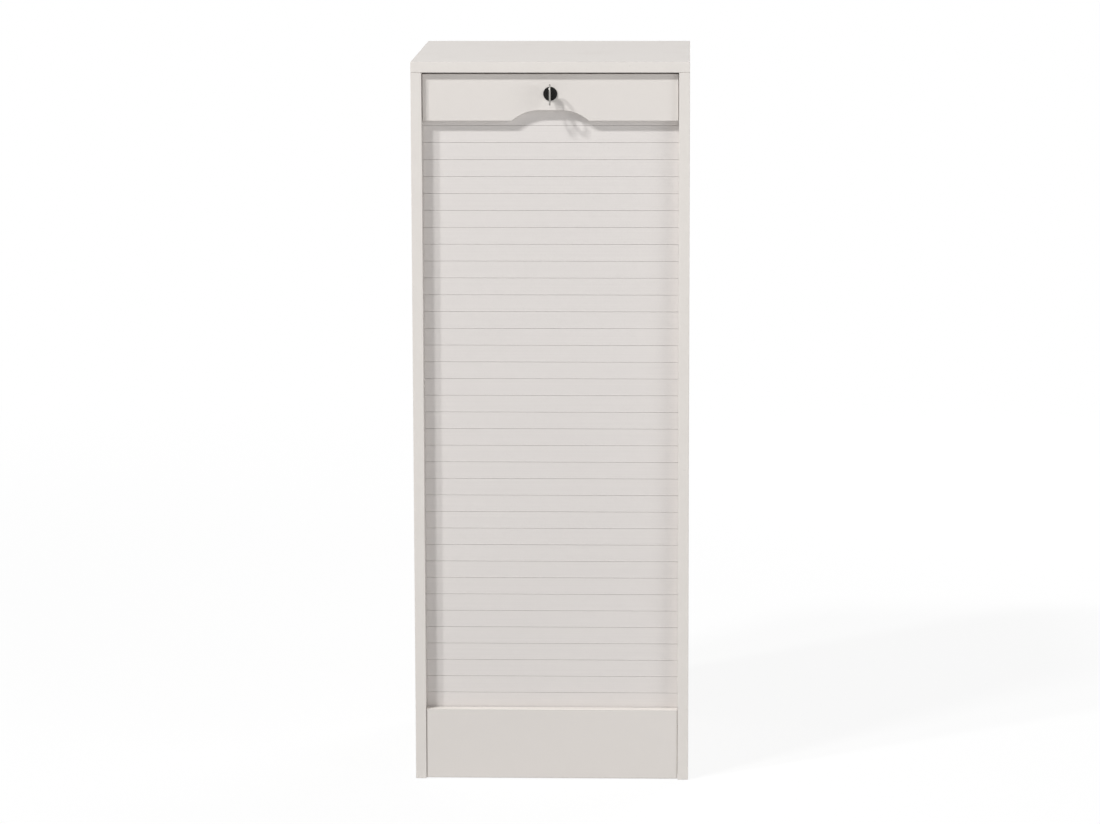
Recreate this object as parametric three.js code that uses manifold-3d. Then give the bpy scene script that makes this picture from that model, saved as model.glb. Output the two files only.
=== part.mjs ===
// A tall, narrow tambour cabinet: a laminated board carcass with a slatted curtain and a lockable lead rail.
// The curtain runs in routed grooves: down the front, round the foot behind the plinth, and up at the back.
// Millimetres. +X is right, +Y goes into the cabinet, +Z is up.
// The origin is on the floor, in the middle of the space that the cabinet and its key take up.
import * as THREE from 'three';
import { mergeVertices } from 'three/addons/utils/BufferGeometryUtils.js';
import Module from 'manifold-3d';

const wasm = await Module();
wasm.setup();

// Carcass boards
const cabinetWidth = 410;
const cabinetHeight = 1080;
const cabinetDepth = 420;
const boardThickness = 16;
const outerBackThickness = 3;
const outerBackSideInset = 2;
const outerBackFloorGap = 4;
const innerBackThickness = 5;
const innerBackSeat = 4;
const innerBackRunGap = 4;
const plinthTop = 107;
const plinthRecess = 2;
const plinthFloorGap = 1;
const baseBoardFloorGap = 4;
const bottomPanelTop = 110;
const interiorRecess = 42;
const stretcherHeight = 80;

// Clearances shared by many pieces
const fitGap = 0.3;
const overrun = 1;

// Adjustable shelves and the rows of holes for their pins
const shelfSideGap = 1.6;
const shelfFrontSetBack = 3;
const pinPitch = 32;
const firstPinIndex = 4;
const shelfPinIndex = 7;
const pinHolesPerRow = 7;
const pinRowFrontSetBack = 38;
const pinRowRearInset = 41;
const pinRadius = 2.5;
const pinSeatDepth = 9;
const pinReach = 8;
const pinCollarRadius = 4;
const pinCollarThickness = 1.2;

// Cam fasteners and dowels of the flat-packed joints
const camFrontSetBack = 90;
const camRearInset = 87;
const camReach = 34;
const camRadius = 7.5;
const camHeight = 12.2;
const boltBoreRadius = 4;
const boltThreadRadius = 3;
const boltThreadLength = 11;
const boltShankRadius = 3.2;
const boltNeckRadius = 1.9;
const boltNeckLength = 5;
const boltHeadLength = 3;
const dowelRadius = 4;
const dowelInSide = 10;
const dowelInBoard = 20;
const plinthDowelHeights = [30, 78];

// Screws of the outer back panel
const backScrew = { headRadius: 3, headHeight: 1.5, shankRadius: 1.5, length: 12 };
const backScrewsPerSide = 6;
const backScrewEndInset = 40;
const backScrewMiddleSpacing = 180;

// Curtain slats and the grooves that they run in
const slatPitch = 25.17;
const slatThickness = 6;
const slatRecess = 19.5;
const slatEndGap = 1;
const slatJointGap = 0.5;
const slatEdgeChamfer = 0.6;
const tongueNeckWidth = 1.4;
const tongueBeadWidth = 2.4;
const tongueBeadHeight = 1;
const tongueHeight = 2.2;
const tongueSlack = 0.35;
const curtainTopGap = 3.9;
const hingeWeb = 0.8;
const mostSections = 12;
const grooveDepth = 8;
const grooveSlack = 0.5;
const bendRadius = 50;
const lowRunHeight = 28;
const backRunInset = 14;
const backRunSpare = 100;

// Lead rail with its finger arch
const railRecess = 8;
const railHeight = 69;
const railTopGap = 2.3;
const railEndGap = 0.8;
const railRestGap = 0.4;
const archWidth = 114;
const archTopWidth = 32;
const archHeight = 15.5;
const archShoulderShare = 0.46;
const railScrew = { headRadius: 3.5, headHeight: 2, shankRadius: 1.6, length: 14 };
const railScrewEndInset = 48;
const railScrewSlatIndex = 1;

// Lock, its key, and the strike that its cam catches on
const lockDrop = 31.4;
const rosetteRadius = 10.3;
const rosetteThickness = 1.8;
const rosetteChamfer = 0.6;
const housingRadius = 8;
const housingTail = 4.5;
const plugRadius = 6;
const plugFaceRecess = 0.3;
const keywayWidth = 2.6;
const keywayHeight = 7.9;
const keywayEndWall = 4.5;
const nutThickness = 3.4;
const nutRadius = 11;
const camPlateThickness = 2;
const camPlateGap = 0.5;
const camLength = 27;
const camHubRadius = 7;
const camArmWidth = 10;
const shankRadius = 3;
const camScrew = { headRadius: 3.6, headHeight: 1.8, shankRadius: 1.5, length: 8 };
const keyThickness = 2;
const keyReach = 22;
const keyBowHeight = 31;
const keyBowDepth = 21;
const keyHoleHeight = 18;
const keyHoleDepth = 11;
const keyNeckHeight = 9;
const keyBladeHeight = 7.2;
const keyBladeTipLength = 3;
const keyBladeTipHeight = 3;
const keyBitHeights = [1.6, 0.7, 2, 1.1];
const keyBitWidth = 2.6;
const keyBitSetBack = 4;
const keyEndGap = 1;
const strikeThickness = 2;
const strikeWidth = 20;
const strikeSetOut = 24;
const strikeFootGap = 1;
const strikeFlangeLength = 23;
const strikeCamGap = 4;
const strikeScrew = { headRadius: 3.2, headHeight: 1.8, shankRadius: 1.5, length: 13 };
const strikeScrewSpacing = 9.6;
const strikeScrewInset = 8;

// Fineness of round forms
const roundSides = 16;
const smallSides = 8;
const lockSides = 24;
const bendSteps = 8;

// Places worked out from the sizes above
const innerHalf = cabinetWidth / 2 - boardThickness;
const innerTop = cabinetHeight - boardThickness;
const rearFace = cabinetDepth - outerBackThickness;
const bottomPanelUnderside = bottomPanelTop - boardThickness;
const baseBoardTop = baseBoardFloorGap + boardThickness;
const slatBack = slatRecess + slatThickness;
const slatMiddle = slatRecess + slatThickness / 2;
const backRun = rearFace - backRunInset;
const bendTop = lowRunHeight + bendRadius;
const innerBackRear = backRun - slatThickness / 2 - innerBackRunGap;
const innerBackFront = innerBackRear - innerBackThickness;
const middleShelfTop = (bottomPanelTop + innerTop + boardThickness) / 2;
const curtainTop = innerTop - curtainTopGap;
const slatCount = Math.floor((curtainTop - bendTop) / slatPitch);
const railTop = innerTop - railTopGap;
const railBottom = railTop - railHeight;
const railBack = slatRecess - fitGap;
const stroke = railBottom - plinthTop - railRestGap;
const fixedSlats = Math.floor((curtainTop - railBottom) / slatPitch) + 1;
const lockHeight = innerTop - lockDrop;
const housingEnd = slatBack + housingTail;
const camPlateFront = housingEnd + camPlateGap;
const camPlateBack = camPlateFront + camPlateThickness;
const plugFace = railRecess - rosetteThickness + plugFaceRecess;
const keyShoulder = plugFace - fitGap;
const keyTip = housingEnd - keywayEndWall - keyEndGap;
const stretcherMiddle = rearFace - boardThickness / 2;
const camSetBacks = [camFrontSetBack, rearFace - camRearInset];
const railHalf = innerHalf - railEndGap;

const finishes = {
  laminate: { color: '#dcd8d1', roughness: 0.5, metalness: 0 },
  hardboard: { color: '#d8d3c9', roughness: 0.6, metalness: 0 },
  slat: { color: '#d9d5d1', roughness: 0.45, metalness: 0 },
  beech: { color: '#c9a878', roughness: 0.75, metalness: 0 },
  zinc: { color: '#a9abad', roughness: 0.35, metalness: 0.9 },
  nickel: { color: '#c4c4c2', roughness: 0.25, metalness: 1 },
  blackLock: { color: '#161616', roughness: 0.35, metalness: 0.2 },
};

const cabinet = new THREE.Group();
cabinet.position.y = (keyReach - cabinetDepth) / 2;

// A closed three.js geometry as a solid, with its faces turned outwards.
function solidOf(geometry) {
  const bare = geometry.clone();
  bare.deleteAttribute('normal');
  bare.deleteAttribute('uv');
  const merged = mergeVertices(bare);
  const corners = [];
  for (let i = 0; i < merged.index.count; i += 3) {
    const [a, b, c] = [0, 1, 2].map((k) => merged.index.getX(i + k));
    if (a !== b && b !== c && c !== a) corners.push(a, b, c);
  }
  const vertProperties = merged.attributes.position.array;
  const triVerts = new Uint32Array(corners);
  const made = new wasm.Manifold(new wasm.Mesh({ numProp: 3, vertProperties, triVerts }));
  if (made.volume() > 0) return made;
  triVerts.reverse();
  return new wasm.Manifold(new wasm.Mesh({ numProp: 3, vertProperties, triVerts }));
}

function joined(solids) {
  return solids.reduce((sum, solid) => sum.add(solid));
}

// A box between pairs of faces, each pair in either order.
function block(x, y, z) {
  const spans = [x, y, z].map((pair) => [Math.min(...pair), Math.max(...pair)]);
  const geometry = new THREE.BoxGeometry(...spans.map(([low, high]) => high - low));
  geometry.translate(...spans.map(([low, high]) => (low + high) / 2));
  return solidOf(geometry);
}

// A shape of revolution about the line from start along direction. Its profile is [radius, distance] pairs.
function turned(start, direction, profile, sides = smallSides) {
  const points = profile.map(([radius, along]) => new THREE.Vector2(radius, along));
  const geometry = new THREE.LatheGeometry(points, sides);
  geometry.applyQuaternion(new THREE.Quaternion().setFromUnitVectors(new THREE.Vector3(0, 1, 0), direction));
  geometry.translate(...start);
  return solidOf(geometry);
}

// A plain round bar whose ends are at two distances from start along direction.
function bar(start, direction, radius, [from, to], sides = smallSides) {
  return turned(start, direction, [[0, from], [radius, from], [radius, to], [0, to]], sides);
}

// An outline in the y-z plane, drawn out along x.
function acrossX(shape, [from, to], curveSegments = smallSides) {
  const geometry = new THREE.ExtrudeGeometry(shape, { depth: to - from, bevelEnabled: false, curveSegments });
  const [x, y, z] = [new THREE.Vector3(1, 0, 0), new THREE.Vector3(0, 1, 0), new THREE.Vector3(0, 0, 1)];
  geometry.applyMatrix4(new THREE.Matrix4().makeBasis(y, z, x));
  geometry.translate(from, 0, 0);
  return solidOf(geometry);
}

// An outline in the x-z plane, drawn out along y.
function alongY(shape, [from, to], curveSegments = smallSides) {
  const geometry = new THREE.ExtrudeGeometry(shape, { depth: to - from, bevelEnabled: false, curveSegments });
  const [x, y, z] = [new THREE.Vector3(1, 0, 0), new THREE.Vector3(0, 1, 0), new THREE.Vector3(0, 0, 1)];
  geometry.applyMatrix4(new THREE.Matrix4().makeBasis(x, z, y.negate()));
  geometry.translate(0, to, 0);
  return solidOf(geometry);
}

function outlineOf(points) {
  return new THREE.Shape(points.map(([u, v]) => new THREE.Vector2(u, v)));
}

function addPiece(name, finish, solid) {
  const { vertProperties, triVerts } = solid.getMesh();
  const geometry = new THREE.BufferGeometry();
  geometry.setAttribute('position', new THREE.BufferAttribute(new Float32Array(vertProperties), 3));
  geometry.setIndex(new THREE.BufferAttribute(new Uint32Array(triVerts), 1));
  geometry.computeVertexNormals();
  const piece = new THREE.Mesh(geometry, new THREE.MeshStandardMaterial(finishes[finish]));
  piece.name = name;
  cabinet.add(piece);
}

const right = new THREE.Vector3(1, 0, 0);
const inward = new THREE.Vector3(0, 1, 0);
const outward = new THREE.Vector3(0, -1, 0);
const up = new THREE.Vector3(0, 0, 1);
const bothSides = [-1, 1];

// A point at given distances along a joint's own directions.
function offset(point, ...steps) {
  const moved = point.clone();
  for (const [direction, distance] of steps) moved.addScaledVector(direction, distance);
  return moved;
}

// Cam joints: seat is where the bolt crosses the joint, into points from the board with the cam to its
// partner, and deeper points from the mouth of the cam's pocket into that board.
function boardEndJoints(boardMiddle) {
  return bothSides.flatMap((side) => camSetBacks.map((y) => ({
    seat: new THREE.Vector3(side * innerHalf, y, boardMiddle),
    into: right.clone().multiplyScalar(side),
    deeper: up,
  })));
}

const topJoints = bothSides.flatMap((side) => camSetBacks.map((y) => ({
  seat: new THREE.Vector3(side * (innerHalf + boardThickness / 2), y, innerTop),
  into: up,
  deeper: right.clone().multiplyScalar(side),
})));

const boardMiddles = [baseBoardTop, bottomPanelTop, middleShelfTop].map((top) => top - boardThickness / 2);
const camJoints = [...boardMiddles.flatMap(boardEndJoints), ...topJoints];

const camMouth = ({ seat, into, deeper }) => offset(seat, [into, -camReach], [deeper, -boardThickness / 2]);

function camHousing(joint) {
  const disc = bar(camMouth(joint), joint.deeper, camRadius, [0, camHeight], roundSides);
  return disc.subtract(bar(joint.seat, joint.into, boltBoreRadius, [-camReach - boltBoreRadius, 0]));
}

function camBolt({ seat, into }) {
  const headStart = -camReach - boltHeadLength / 2;
  const neckStart = headStart + boltHeadLength;
  const neckEnd = neckStart + boltNeckLength;
  return turned(seat, into, [
    [0, headStart], [boltShankRadius, headStart], [boltShankRadius, neckStart],
    [boltNeckRadius, neckStart], [boltNeckRadius, neckEnd], [boltShankRadius, neckEnd],
    [boltShankRadius, 0], [boltThreadRadius, 0], [boltThreadRadius, boltThreadLength], [0, boltThreadLength],
  ]);
}

function camClearance(joint) {
  return joined([
    bar(joint.seat, joint.into, boltBoreRadius, [-camReach, 0]),
    bar(joint.seat, joint.into, boltThreadRadius + fitGap, [-overrun, boltThreadLength + fitGap]),
    bar(camMouth(joint), joint.deeper, camRadius + fitGap, [-overrun, camHeight + fitGap], roundSides),
  ]);
}

// Dowels: seat is on the joint face, and into points into the side panel.
function endDowels(y, heights) {
  return bothSides.flatMap((side) => heights.map((z) => ({
    seat: new THREE.Vector3(side * innerHalf, y, z),
    into: right.clone().multiplyScalar(side),
  })));
}

const dowelJoints = [
  ...endDowels(plinthRecess + boardThickness / 2, plinthDowelHeights),
  ...endDowels(stretcherMiddle, [innerTop - stretcherHeight / 2]),
];

const dowel = ({ seat, into }) => bar(seat, into, dowelRadius, [-dowelInBoard, dowelInSide]);
const dowelClearance = ({ seat, into }) =>
  bar(seat, into, dowelRadius + fitGap, [-dowelInBoard - fitGap, dowelInSide + fitGap]);

// Screws: the middle of the head is at head, and along points to the tip.
function panScrew(head, along, { headRadius, headHeight, shankRadius: shank, length }) {
  return turned(head, along, [
    [0, 0], [headRadius, 0], [headRadius, headHeight], [shank, headHeight],
    [shank, length - shank], [0, length],
  ]);
}

function flushScrewClearance(head, along, { headRadius, headHeight, shankRadius: shank, length }) {
  return turned(head, along, [
    [0, -overrun], [headRadius + fitGap, -overrun], [headRadius + fitGap, 0],
    [shank + fitGap, headHeight + fitGap], [shank + fitGap, length + fitGap], [0, length + fitGap],
  ]);
}

const screwShankClearance = (head, along, { shankRadius: shank, length }) =>
  bar(head, along, shank + fitGap, [0, length + fitGap]);

const backScrewRise = (innerTop - outerBackFloorGap - 2 * backScrewEndInset) / (backScrewsPerSide - 1);
const backScrewSpots = bothSides.flatMap((side) => [
  ...Array.from({ length: backScrewsPerSide }, (_, i) => [
    side * (innerHalf + boardThickness / 2),
    outerBackFloorGap + backScrewEndInset + i * backScrewRise,
  ]),
  [side * backScrewMiddleSpacing / 2, baseBoardTop - boardThickness / 2],
  [side * backScrewMiddleSpacing / 2, innerTop - stretcherHeight / 2],
]);
const backScrewHeads = backScrewSpots.map(([x, z]) => new THREE.Vector3(x, cabinetDepth, z));

// Strike bracket: hung under the top panel, with a foot below the place that the locked cam turns to.
const strikeLegFront = camPlateBack + strikeCamGap;
const strikeFlangeRear = strikeLegFront + strikeFlangeLength;
const strikeFootTop = lockHeight - camArmWidth / 2 - strikeFootGap;
const strikeScrewHeads = bothSides.map((side) => new THREE.Vector3(
  strikeSetOut + side * strikeScrewSpacing / 2,
  strikeFlangeRear - strikeScrewInset,
  innerTop - strikeThickness - strikeScrew.headHeight,
));

function strikeBracket() {
  const profile = outlineOf([
    [camPlateFront, strikeFootTop - strikeThickness],
    [strikeLegFront + strikeThickness, strikeFootTop - strikeThickness],
    [strikeLegFront + strikeThickness, innerTop - strikeThickness],
    [strikeFlangeRear, innerTop - strikeThickness],
    [strikeFlangeRear, innerTop],
    [strikeLegFront, innerTop],
    [strikeLegFront, strikeFootTop],
    [camPlateFront, strikeFootTop],
  ]);
  const bracket = acrossX(profile, [strikeSetOut - strikeWidth / 2, strikeSetOut + strikeWidth / 2]);
  return bracket.subtract(joined(strikeScrewHeads.map((head) => screwShankClearance(head, up, strikeScrew))));
}

// Everything that is drilled for fasteners, cut from each carcass board alike.
const drilling = joined([
  ...camJoints.map(camClearance),
  ...dowelJoints.map(dowelClearance),
  ...backScrewHeads.map((head) => flushScrewClearance(head, outward, backScrew)),
  ...strikeScrewHeads.map((head) => screwShankClearance(head, up, strikeScrew)),
]);
const drilled = (board) => board.subtract(drilling);

// Shelf pins stand in one row of holes at the front and one at the rear, above each fixed board.
const pinRows = [interiorRecess + pinRowFrontSetBack, innerBackFront - pinRowRearInset];
const fixedBoardTops = [bottomPanelTop, middleShelfTop];
const pinRowStarts = fixedBoardTops.map((top) => top + firstPinIndex * pinPitch);
const shelfPinHeights = fixedBoardTops.map((top) => top + shelfPinIndex * pinPitch);

function pinHoles(side) {
  const direction = right.clone().multiplyScalar(side);
  const steps = Array.from({ length: pinHolesPerRow }, (_, i) => i * pinPitch);
  return joined(pinRowStarts.flatMap((start) => pinRows.flatMap((y) => steps.map((rise) => bar(
    new THREE.Vector3(side * innerHalf, y, start + rise),
    direction,
    pinRadius + fitGap,
    [-overrun, pinSeatDepth + fitGap],
  )))));
}

function shelfPin(side, y, z) {
  const direction = right.clone().multiplyScalar(-side);
  return turned(new THREE.Vector3(side * innerHalf, y, z), direction, [
    [0, -pinSeatDepth], [pinRadius, -pinSeatDepth], [pinRadius, 0], [pinCollarRadius, 0],
    [pinCollarRadius, pinCollarThickness], [pinRadius, pinCollarThickness],
    [pinRadius, pinReach], [0, pinReach],
  ]);
}

// The curtain's groove: its path offset to both sides by half its width, as one outline in the y-z plane.
function grooveOutline() {
  const half = slatThickness / 2 + grooveSlack;
  const frontBend = [slatMiddle + bendRadius, bendTop];
  const backBend = [backRun - bendRadius, bendTop];
  const backRunTop = bendTop + stroke - Math.PI * bendRadius - (backBend[0] - frontBend[0]) + backRunSpare;
  const arc = ([y, z], radius, from, to) => Array.from({ length: bendSteps + 1 }, (_, i) => {
    const angle = from + (to - from) * i / bendSteps;
    return [y + radius * Math.cos(angle), z + radius * Math.sin(angle)];
  });
  const [west, south, east] = [Math.PI, 1.5 * Math.PI, 2 * Math.PI];
  return outlineOf([
    [slatMiddle - half, innerTop + overrun],
    ...arc(frontBend, bendRadius + half, west, south),
    ...arc(backBend, bendRadius + half, south, east),
    ...arc([backRun, backRunTop], half, 0, Math.PI),
    ...arc(backBend, bendRadius - half, east, south),
    ...arc(frontBend, bendRadius - half, south, west),
    [slatMiddle + half, innerTop + overrun],
  ]);
}

const grooveShape = grooveOutline();

function sidePanel(side) {
  const inner = side * innerHalf;
  const board = block([inner, side * cabinetWidth / 2], [0, rearFace], [0, innerTop]);
  const groove = acrossX(grooveShape, [inner, inner + side * grooveDepth].sort((a, b) => a - b));
  const grooveMouth = acrossX(grooveShape, [inner - side * overrun, inner].sort((a, b) => a - b));
  const backSlot = block(
    [inner - side * overrun, inner + side * (innerBackSeat + fitGap)],
    [innerBackFront - fitGap, innerBackRear + fitGap],
    [bottomPanelUnderside, innerTop + overrun],
  );
  return drilled(board).subtract(joined([groove, grooveMouth, backSlot, pinHoles(side)]));
}

// A level board between the side panels, from its top face down.
function levelBoard(top, yFaces, halfWidth = innerHalf) {
  return drilled(block([-halfWidth, halfWidth], yFaces, [top - boardThickness, top]));
}

addPiece('side_panel_left', 'laminate', sidePanel(-1));
addPiece('side_panel_right', 'laminate', sidePanel(1));
addPiece('top_panel', 'laminate', levelBoard(cabinetHeight, [0, cabinetDepth], cabinetWidth / 2));
addPiece('bottom_panel', 'laminate', levelBoard(bottomPanelTop, [interiorRecess, innerBackFront - fitGap]));
addPiece('base_board', 'laminate', levelBoard(
  baseBoardTop,
  [plinthRecess + boardThickness + fitGap, rearFace],
));
addPiece('middle_shelf', 'laminate', levelBoard(middleShelfTop, [interiorRecess, innerBackFront - fitGap]));

['lower_shelf', 'upper_shelf'].forEach((name, i) => {
  const underside = shelfPinHeights[i] + pinRadius + fitGap / 2;
  const yFaces = [interiorRecess + shelfFrontSetBack, innerBackFront - shelfFrontSetBack];
  addPiece(name, 'laminate', levelBoard(underside + boardThickness, yFaces, innerHalf - shelfSideGap));
});

addPiece('plinth_board', 'laminate', drilled(block(
  [fitGap - innerHalf, innerHalf - fitGap],
  [plinthRecess, plinthRecess + boardThickness],
  [plinthFloorGap, plinthTop],
)));
addPiece('rear_stretcher', 'laminate', drilled(block(
  [-innerHalf, innerHalf],
  [rearFace - boardThickness, rearFace],
  [innerTop - stretcherHeight, innerTop],
)));
addPiece('inner_back_panel', 'hardboard', drilled(block(
  [-innerHalf - innerBackSeat, innerHalf + innerBackSeat],
  [innerBackFront, innerBackRear],
  [bottomPanelUnderside + fitGap, innerTop - fitGap],
)));
addPiece('outer_back_panel', 'hardboard', drilled(block(
  [outerBackSideInset - cabinetWidth / 2, cabinetWidth / 2 - outerBackSideInset],
  [rearFace, cabinetDepth],
  [outerBackFloorGap, innerTop - fitGap],
)));

// Like pieces, one node each, numbered from 1.
function addCopies(name, finish, solids) {
  solids.forEach((solid, i) => addPiece(`${name}_${i + 1}`, finish, solid));
}

addCopies('cam_housing', 'zinc', topJoints.map(camHousing));
addCopies('cam_bolt', 'zinc', topJoints.map(camBolt));
addCopies('dowel', 'beech', dowelJoints.map(dowel));
addCopies('shelf_pin', 'zinc', shelfPinHeights.flatMap((z) =>
  pinRows.flatMap((y) => bothSides.map((side) => shelfPin(side, y, z)))));
addPiece('strike_bracket', 'zinc', strikeBracket());
addCopies('strike_screw', 'zinc', strikeScrewHeads.map((head) => panScrew(head, up, strikeScrew)));

// Curtain: sections of a few slats, joined by thin flexible hinges. The tongue along the top of each section
// hooks into the slot along the bottom of the section above it.
const slatHalf = innerHalf + grooveDepth - slatEndGap;
const slatBottom = (index) => curtainTop - (index + 1) * slatPitch;

// The groove at a hinge inside a section, from below to above, on the face at y and cut as far as the web.
function hingeGroove(y, joint) {
  const deeper = Math.sign(slatMiddle - y);
  const [low, high] = [joint - slatJointGap / 2, joint + slatJointGap / 2];
  const [edge, web] = [y + deeper * slatEdgeChamfer, slatMiddle - deeper * hingeWeb / 2];
  return [
    [y, low - slatEdgeChamfer], [edge, low], [web, low],
    [web, high], [edge, high], [y, high + slatEdgeChamfer],
  ];
}

function slotPoints(bottom) {
  const low = bottom + slatJointGap / 2;
  const slot = tongueBeadWidth / 2 + tongueSlack;
  const mouth = tongueNeckWidth / 2 + tongueSlack;
  const slotLow = bottom + tongueHeight - tongueBeadHeight - tongueSlack;
  const slotHigh = bottom + tongueHeight + tongueSlack;
  const half = [[mouth, low], [mouth, slotLow], [slot, slotLow], [slot, slotHigh]];
  return [
    ...half.map(([reach, z]) => [slatMiddle - reach, z]),
    ...half.toReversed().map(([reach, z]) => [slatMiddle + reach, z]),
  ];
}

function tonguePoints(top) {
  const [neck, bead] = [tongueNeckWidth / 2, tongueBeadWidth / 2];
  const [beadLow, beadHigh] = [top + tongueHeight - tongueBeadHeight, top + tongueHeight];
  const half = [[neck, top - slatJointGap / 2], [neck, beadLow], [bead, beadLow], [bead, beadHigh]];
  return [
    ...half.map(([reach, z]) => [slatMiddle + reach, z]),
    ...half.toReversed().map(([reach, z]) => [slatMiddle - reach, z]),
  ];
}

// The section that holds the slats from first, the upper, to last.
function curtainSection(first, last) {
  const [top, bottom] = [slatBottom(first) + slatPitch, slatBottom(last)];
  const [low, high] = [bottom + slatJointGap / 2, top - slatJointGap / 2];
  const [front, back] = [slatRecess + slatEdgeChamfer, slatBack - slatEdgeChamfer];
  const hinges = Array.from({ length: last - first }, (_, i) => slatBottom(first + i));
  const outline = outlineOf([
    [slatRecess, low + slatEdgeChamfer], [front, low], ...slotPoints(bottom), [back, low],
    [slatBack, low + slatEdgeChamfer],
    ...hinges.toReversed().flatMap((joint) => hingeGroove(slatBack, joint)),
    [slatBack, high - slatEdgeChamfer], [back, high], ...tonguePoints(top), [front, high],
    [slatRecess, high - slatEdgeChamfer],
    ...hinges.flatMap((joint) => hingeGroove(slatRecess, joint).toReversed()),
  ]);
  return acrossX(outline, [-slatHalf, slatHalf]);
}

const railScrewHeads = bothSides.map((side) => new THREE.Vector3(
  side * (railHalf - railScrewEndInset),
  slatBack + fitGap / 2 + railScrew.headHeight,
  slatBottom(railScrewSlatIndex) + slatPitch / 2,
));
const lockAxis = new THREE.Vector3(0, 0, lockHeight);
const railDrilling = joined([
  bar(lockAxis, inward, housingRadius + fitGap, [0, housingEnd], lockSides),
  ...railScrewHeads.map((head) => screwShankClearance(head, outward, railScrew)),
]);

addPiece('rail_slats', 'slat', curtainSection(0, fixedSlats - 1).subtract(railDrilling));
const slatsPerSection = Math.ceil((slatCount - fixedSlats) / mostSections);
for (let first = fixedSlats, section = 1; first < slatCount; first += slatsPerSection, section += 1) {
  const last = Math.min(first + slatsPerSection, slatCount) - 1;
  addPiece(`curtain_section_${String(section).padStart(2, '0')}`, 'slat', curtainSection(first, last));
}

function leadRail() {
  const [base, crown] = [archWidth / 2, archTopWidth / 2];
  const shoulder = base - (base - crown) * archShoulderShare;
  const face = new THREE.Shape();
  face.moveTo(-railHalf, railBottom);
  face.lineTo(-base, railBottom);
  face.quadraticCurveTo(-shoulder, railBottom + archHeight, -crown, railBottom + archHeight);
  face.lineTo(crown, railBottom + archHeight);
  face.quadraticCurveTo(shoulder, railBottom + archHeight, base, railBottom);
  face.lineTo(railHalf, railBottom);
  face.lineTo(railHalf, railTop);
  face.lineTo(-railHalf, railTop);
  return alongY(face, [railRecess, railBack]).subtract(railDrilling);
}

addPiece('lead_rail', 'laminate', leadRail());
addCopies('rail_screw', 'zinc', railScrewHeads.map((head) => panScrew(head, outward, railScrew)));

// Lock: a housing fixed through the rail by a nut, and a plug that turns in it and carries the cam.
function lockHousing() {
  const bore = plugRadius + fitGap;
  const front = railRecess - rosetteThickness;
  return turned(lockAxis, inward, [
    [bore, front], [rosetteRadius - rosetteChamfer, front], [rosetteRadius, front + rosetteChamfer],
    [rosetteRadius, railRecess - fitGap / 2], [housingRadius, railRecess - fitGap / 2],
    [housingRadius, housingEnd], [bore, housingEnd], [bore, front],
  ], lockSides);
}

function lockNut() {
  const nutFront = slatBack + fitGap;
  const hexagonSides = 6;
  const nut = bar(lockAxis, inward, nutRadius, [nutFront, nutFront + nutThickness], hexagonSides);
  return nut.subtract(bar(lockAxis, inward, housingRadius + fitGap, [slatBack, housingEnd], lockSides));
}

function lockPlug() {
  const plug = turned(lockAxis, inward, [
    [0, plugFace], [plugRadius, plugFace], [plugRadius, housingEnd], [shankRadius, housingEnd],
    [shankRadius, camPlateBack], [0, camPlateBack],
  ], lockSides);
  const keyway = block(
    [-keywayWidth / 2, keywayWidth / 2],
    [plugFace - overrun, housingEnd - keywayEndWall],
    [lockHeight - keywayHeight / 2, lockHeight + keywayHeight / 2],
  );
  const screwHead = new THREE.Vector3(0, camPlateBack + fitGap + camScrew.headHeight, lockHeight);
  const screwHole = bar(screwHead, outward, camScrew.shankRadius + fitGap, [0, camScrew.length + fitGap]);
  return plug.subtract(keyway.add(screwHole));
}

function lockCam() {
  const arm = camArmWidth / 2;
  const shape = new THREE.Shape();
  shape.absarc(0, lockHeight, camHubRadius, Math.PI, 2 * Math.PI);
  shape.lineTo(arm, lockHeight + camLength - arm);
  shape.absarc(0, lockHeight + camLength - arm, arm, 0, Math.PI);
  const plate = alongY(shape, [camPlateFront, camPlateBack]);
  const hole = [housingEnd, camPlateBack + overrun];
  return plate.subtract(bar(lockAxis, inward, shankRadius + fitGap, hole, lockSides));
}

// Key: an oval bow with a slot for a ring, a short neck, and a notched blade.
function doorKey() {
  const shape = new THREE.Shape();
  const bowMiddle = keyBowDepth / 2 - keyReach;
  const [neck, blade, tip] = [keyNeckHeight / 2, keyBladeHeight / 2, keyBladeTipHeight / 2];
  const meets = Math.asin(neck / (keyBowHeight / 2));
  const [start, end] = [meets, 2 * Math.PI - meets];
  shape.absellipse(bowMiddle, lockHeight, keyBowDepth / 2, keyBowHeight / 2, start, end);
  shape.lineTo(keyShoulder, lockHeight - neck);
  shape.lineTo(keyShoulder, lockHeight - blade);
  keyBitHeights.forEach((bit, i) => {
    const from = keyShoulder + keyBitSetBack + i * keyBitWidth;
    shape.lineTo(from, lockHeight - blade + bit);
    shape.lineTo(from + keyBitWidth / 2, lockHeight - blade + bit);
  });
  shape.lineTo(keyTip - keyBladeTipLength, lockHeight - blade);
  shape.lineTo(keyTip, lockHeight - tip);
  shape.lineTo(keyTip, lockHeight + tip);
  shape.lineTo(keyTip - keyBladeTipLength, lockHeight + blade);
  shape.lineTo(keyShoulder, lockHeight + blade);
  shape.lineTo(keyShoulder, lockHeight + neck);
  const hole = new THREE.Path();
  hole.absellipse(bowMiddle, lockHeight, keyHoleDepth / 2, keyHoleHeight / 2, 0, 2 * Math.PI);
  shape.holes.push(hole);
  return acrossX(shape, [-keyThickness / 2, keyThickness / 2], roundSides);
}

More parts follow.
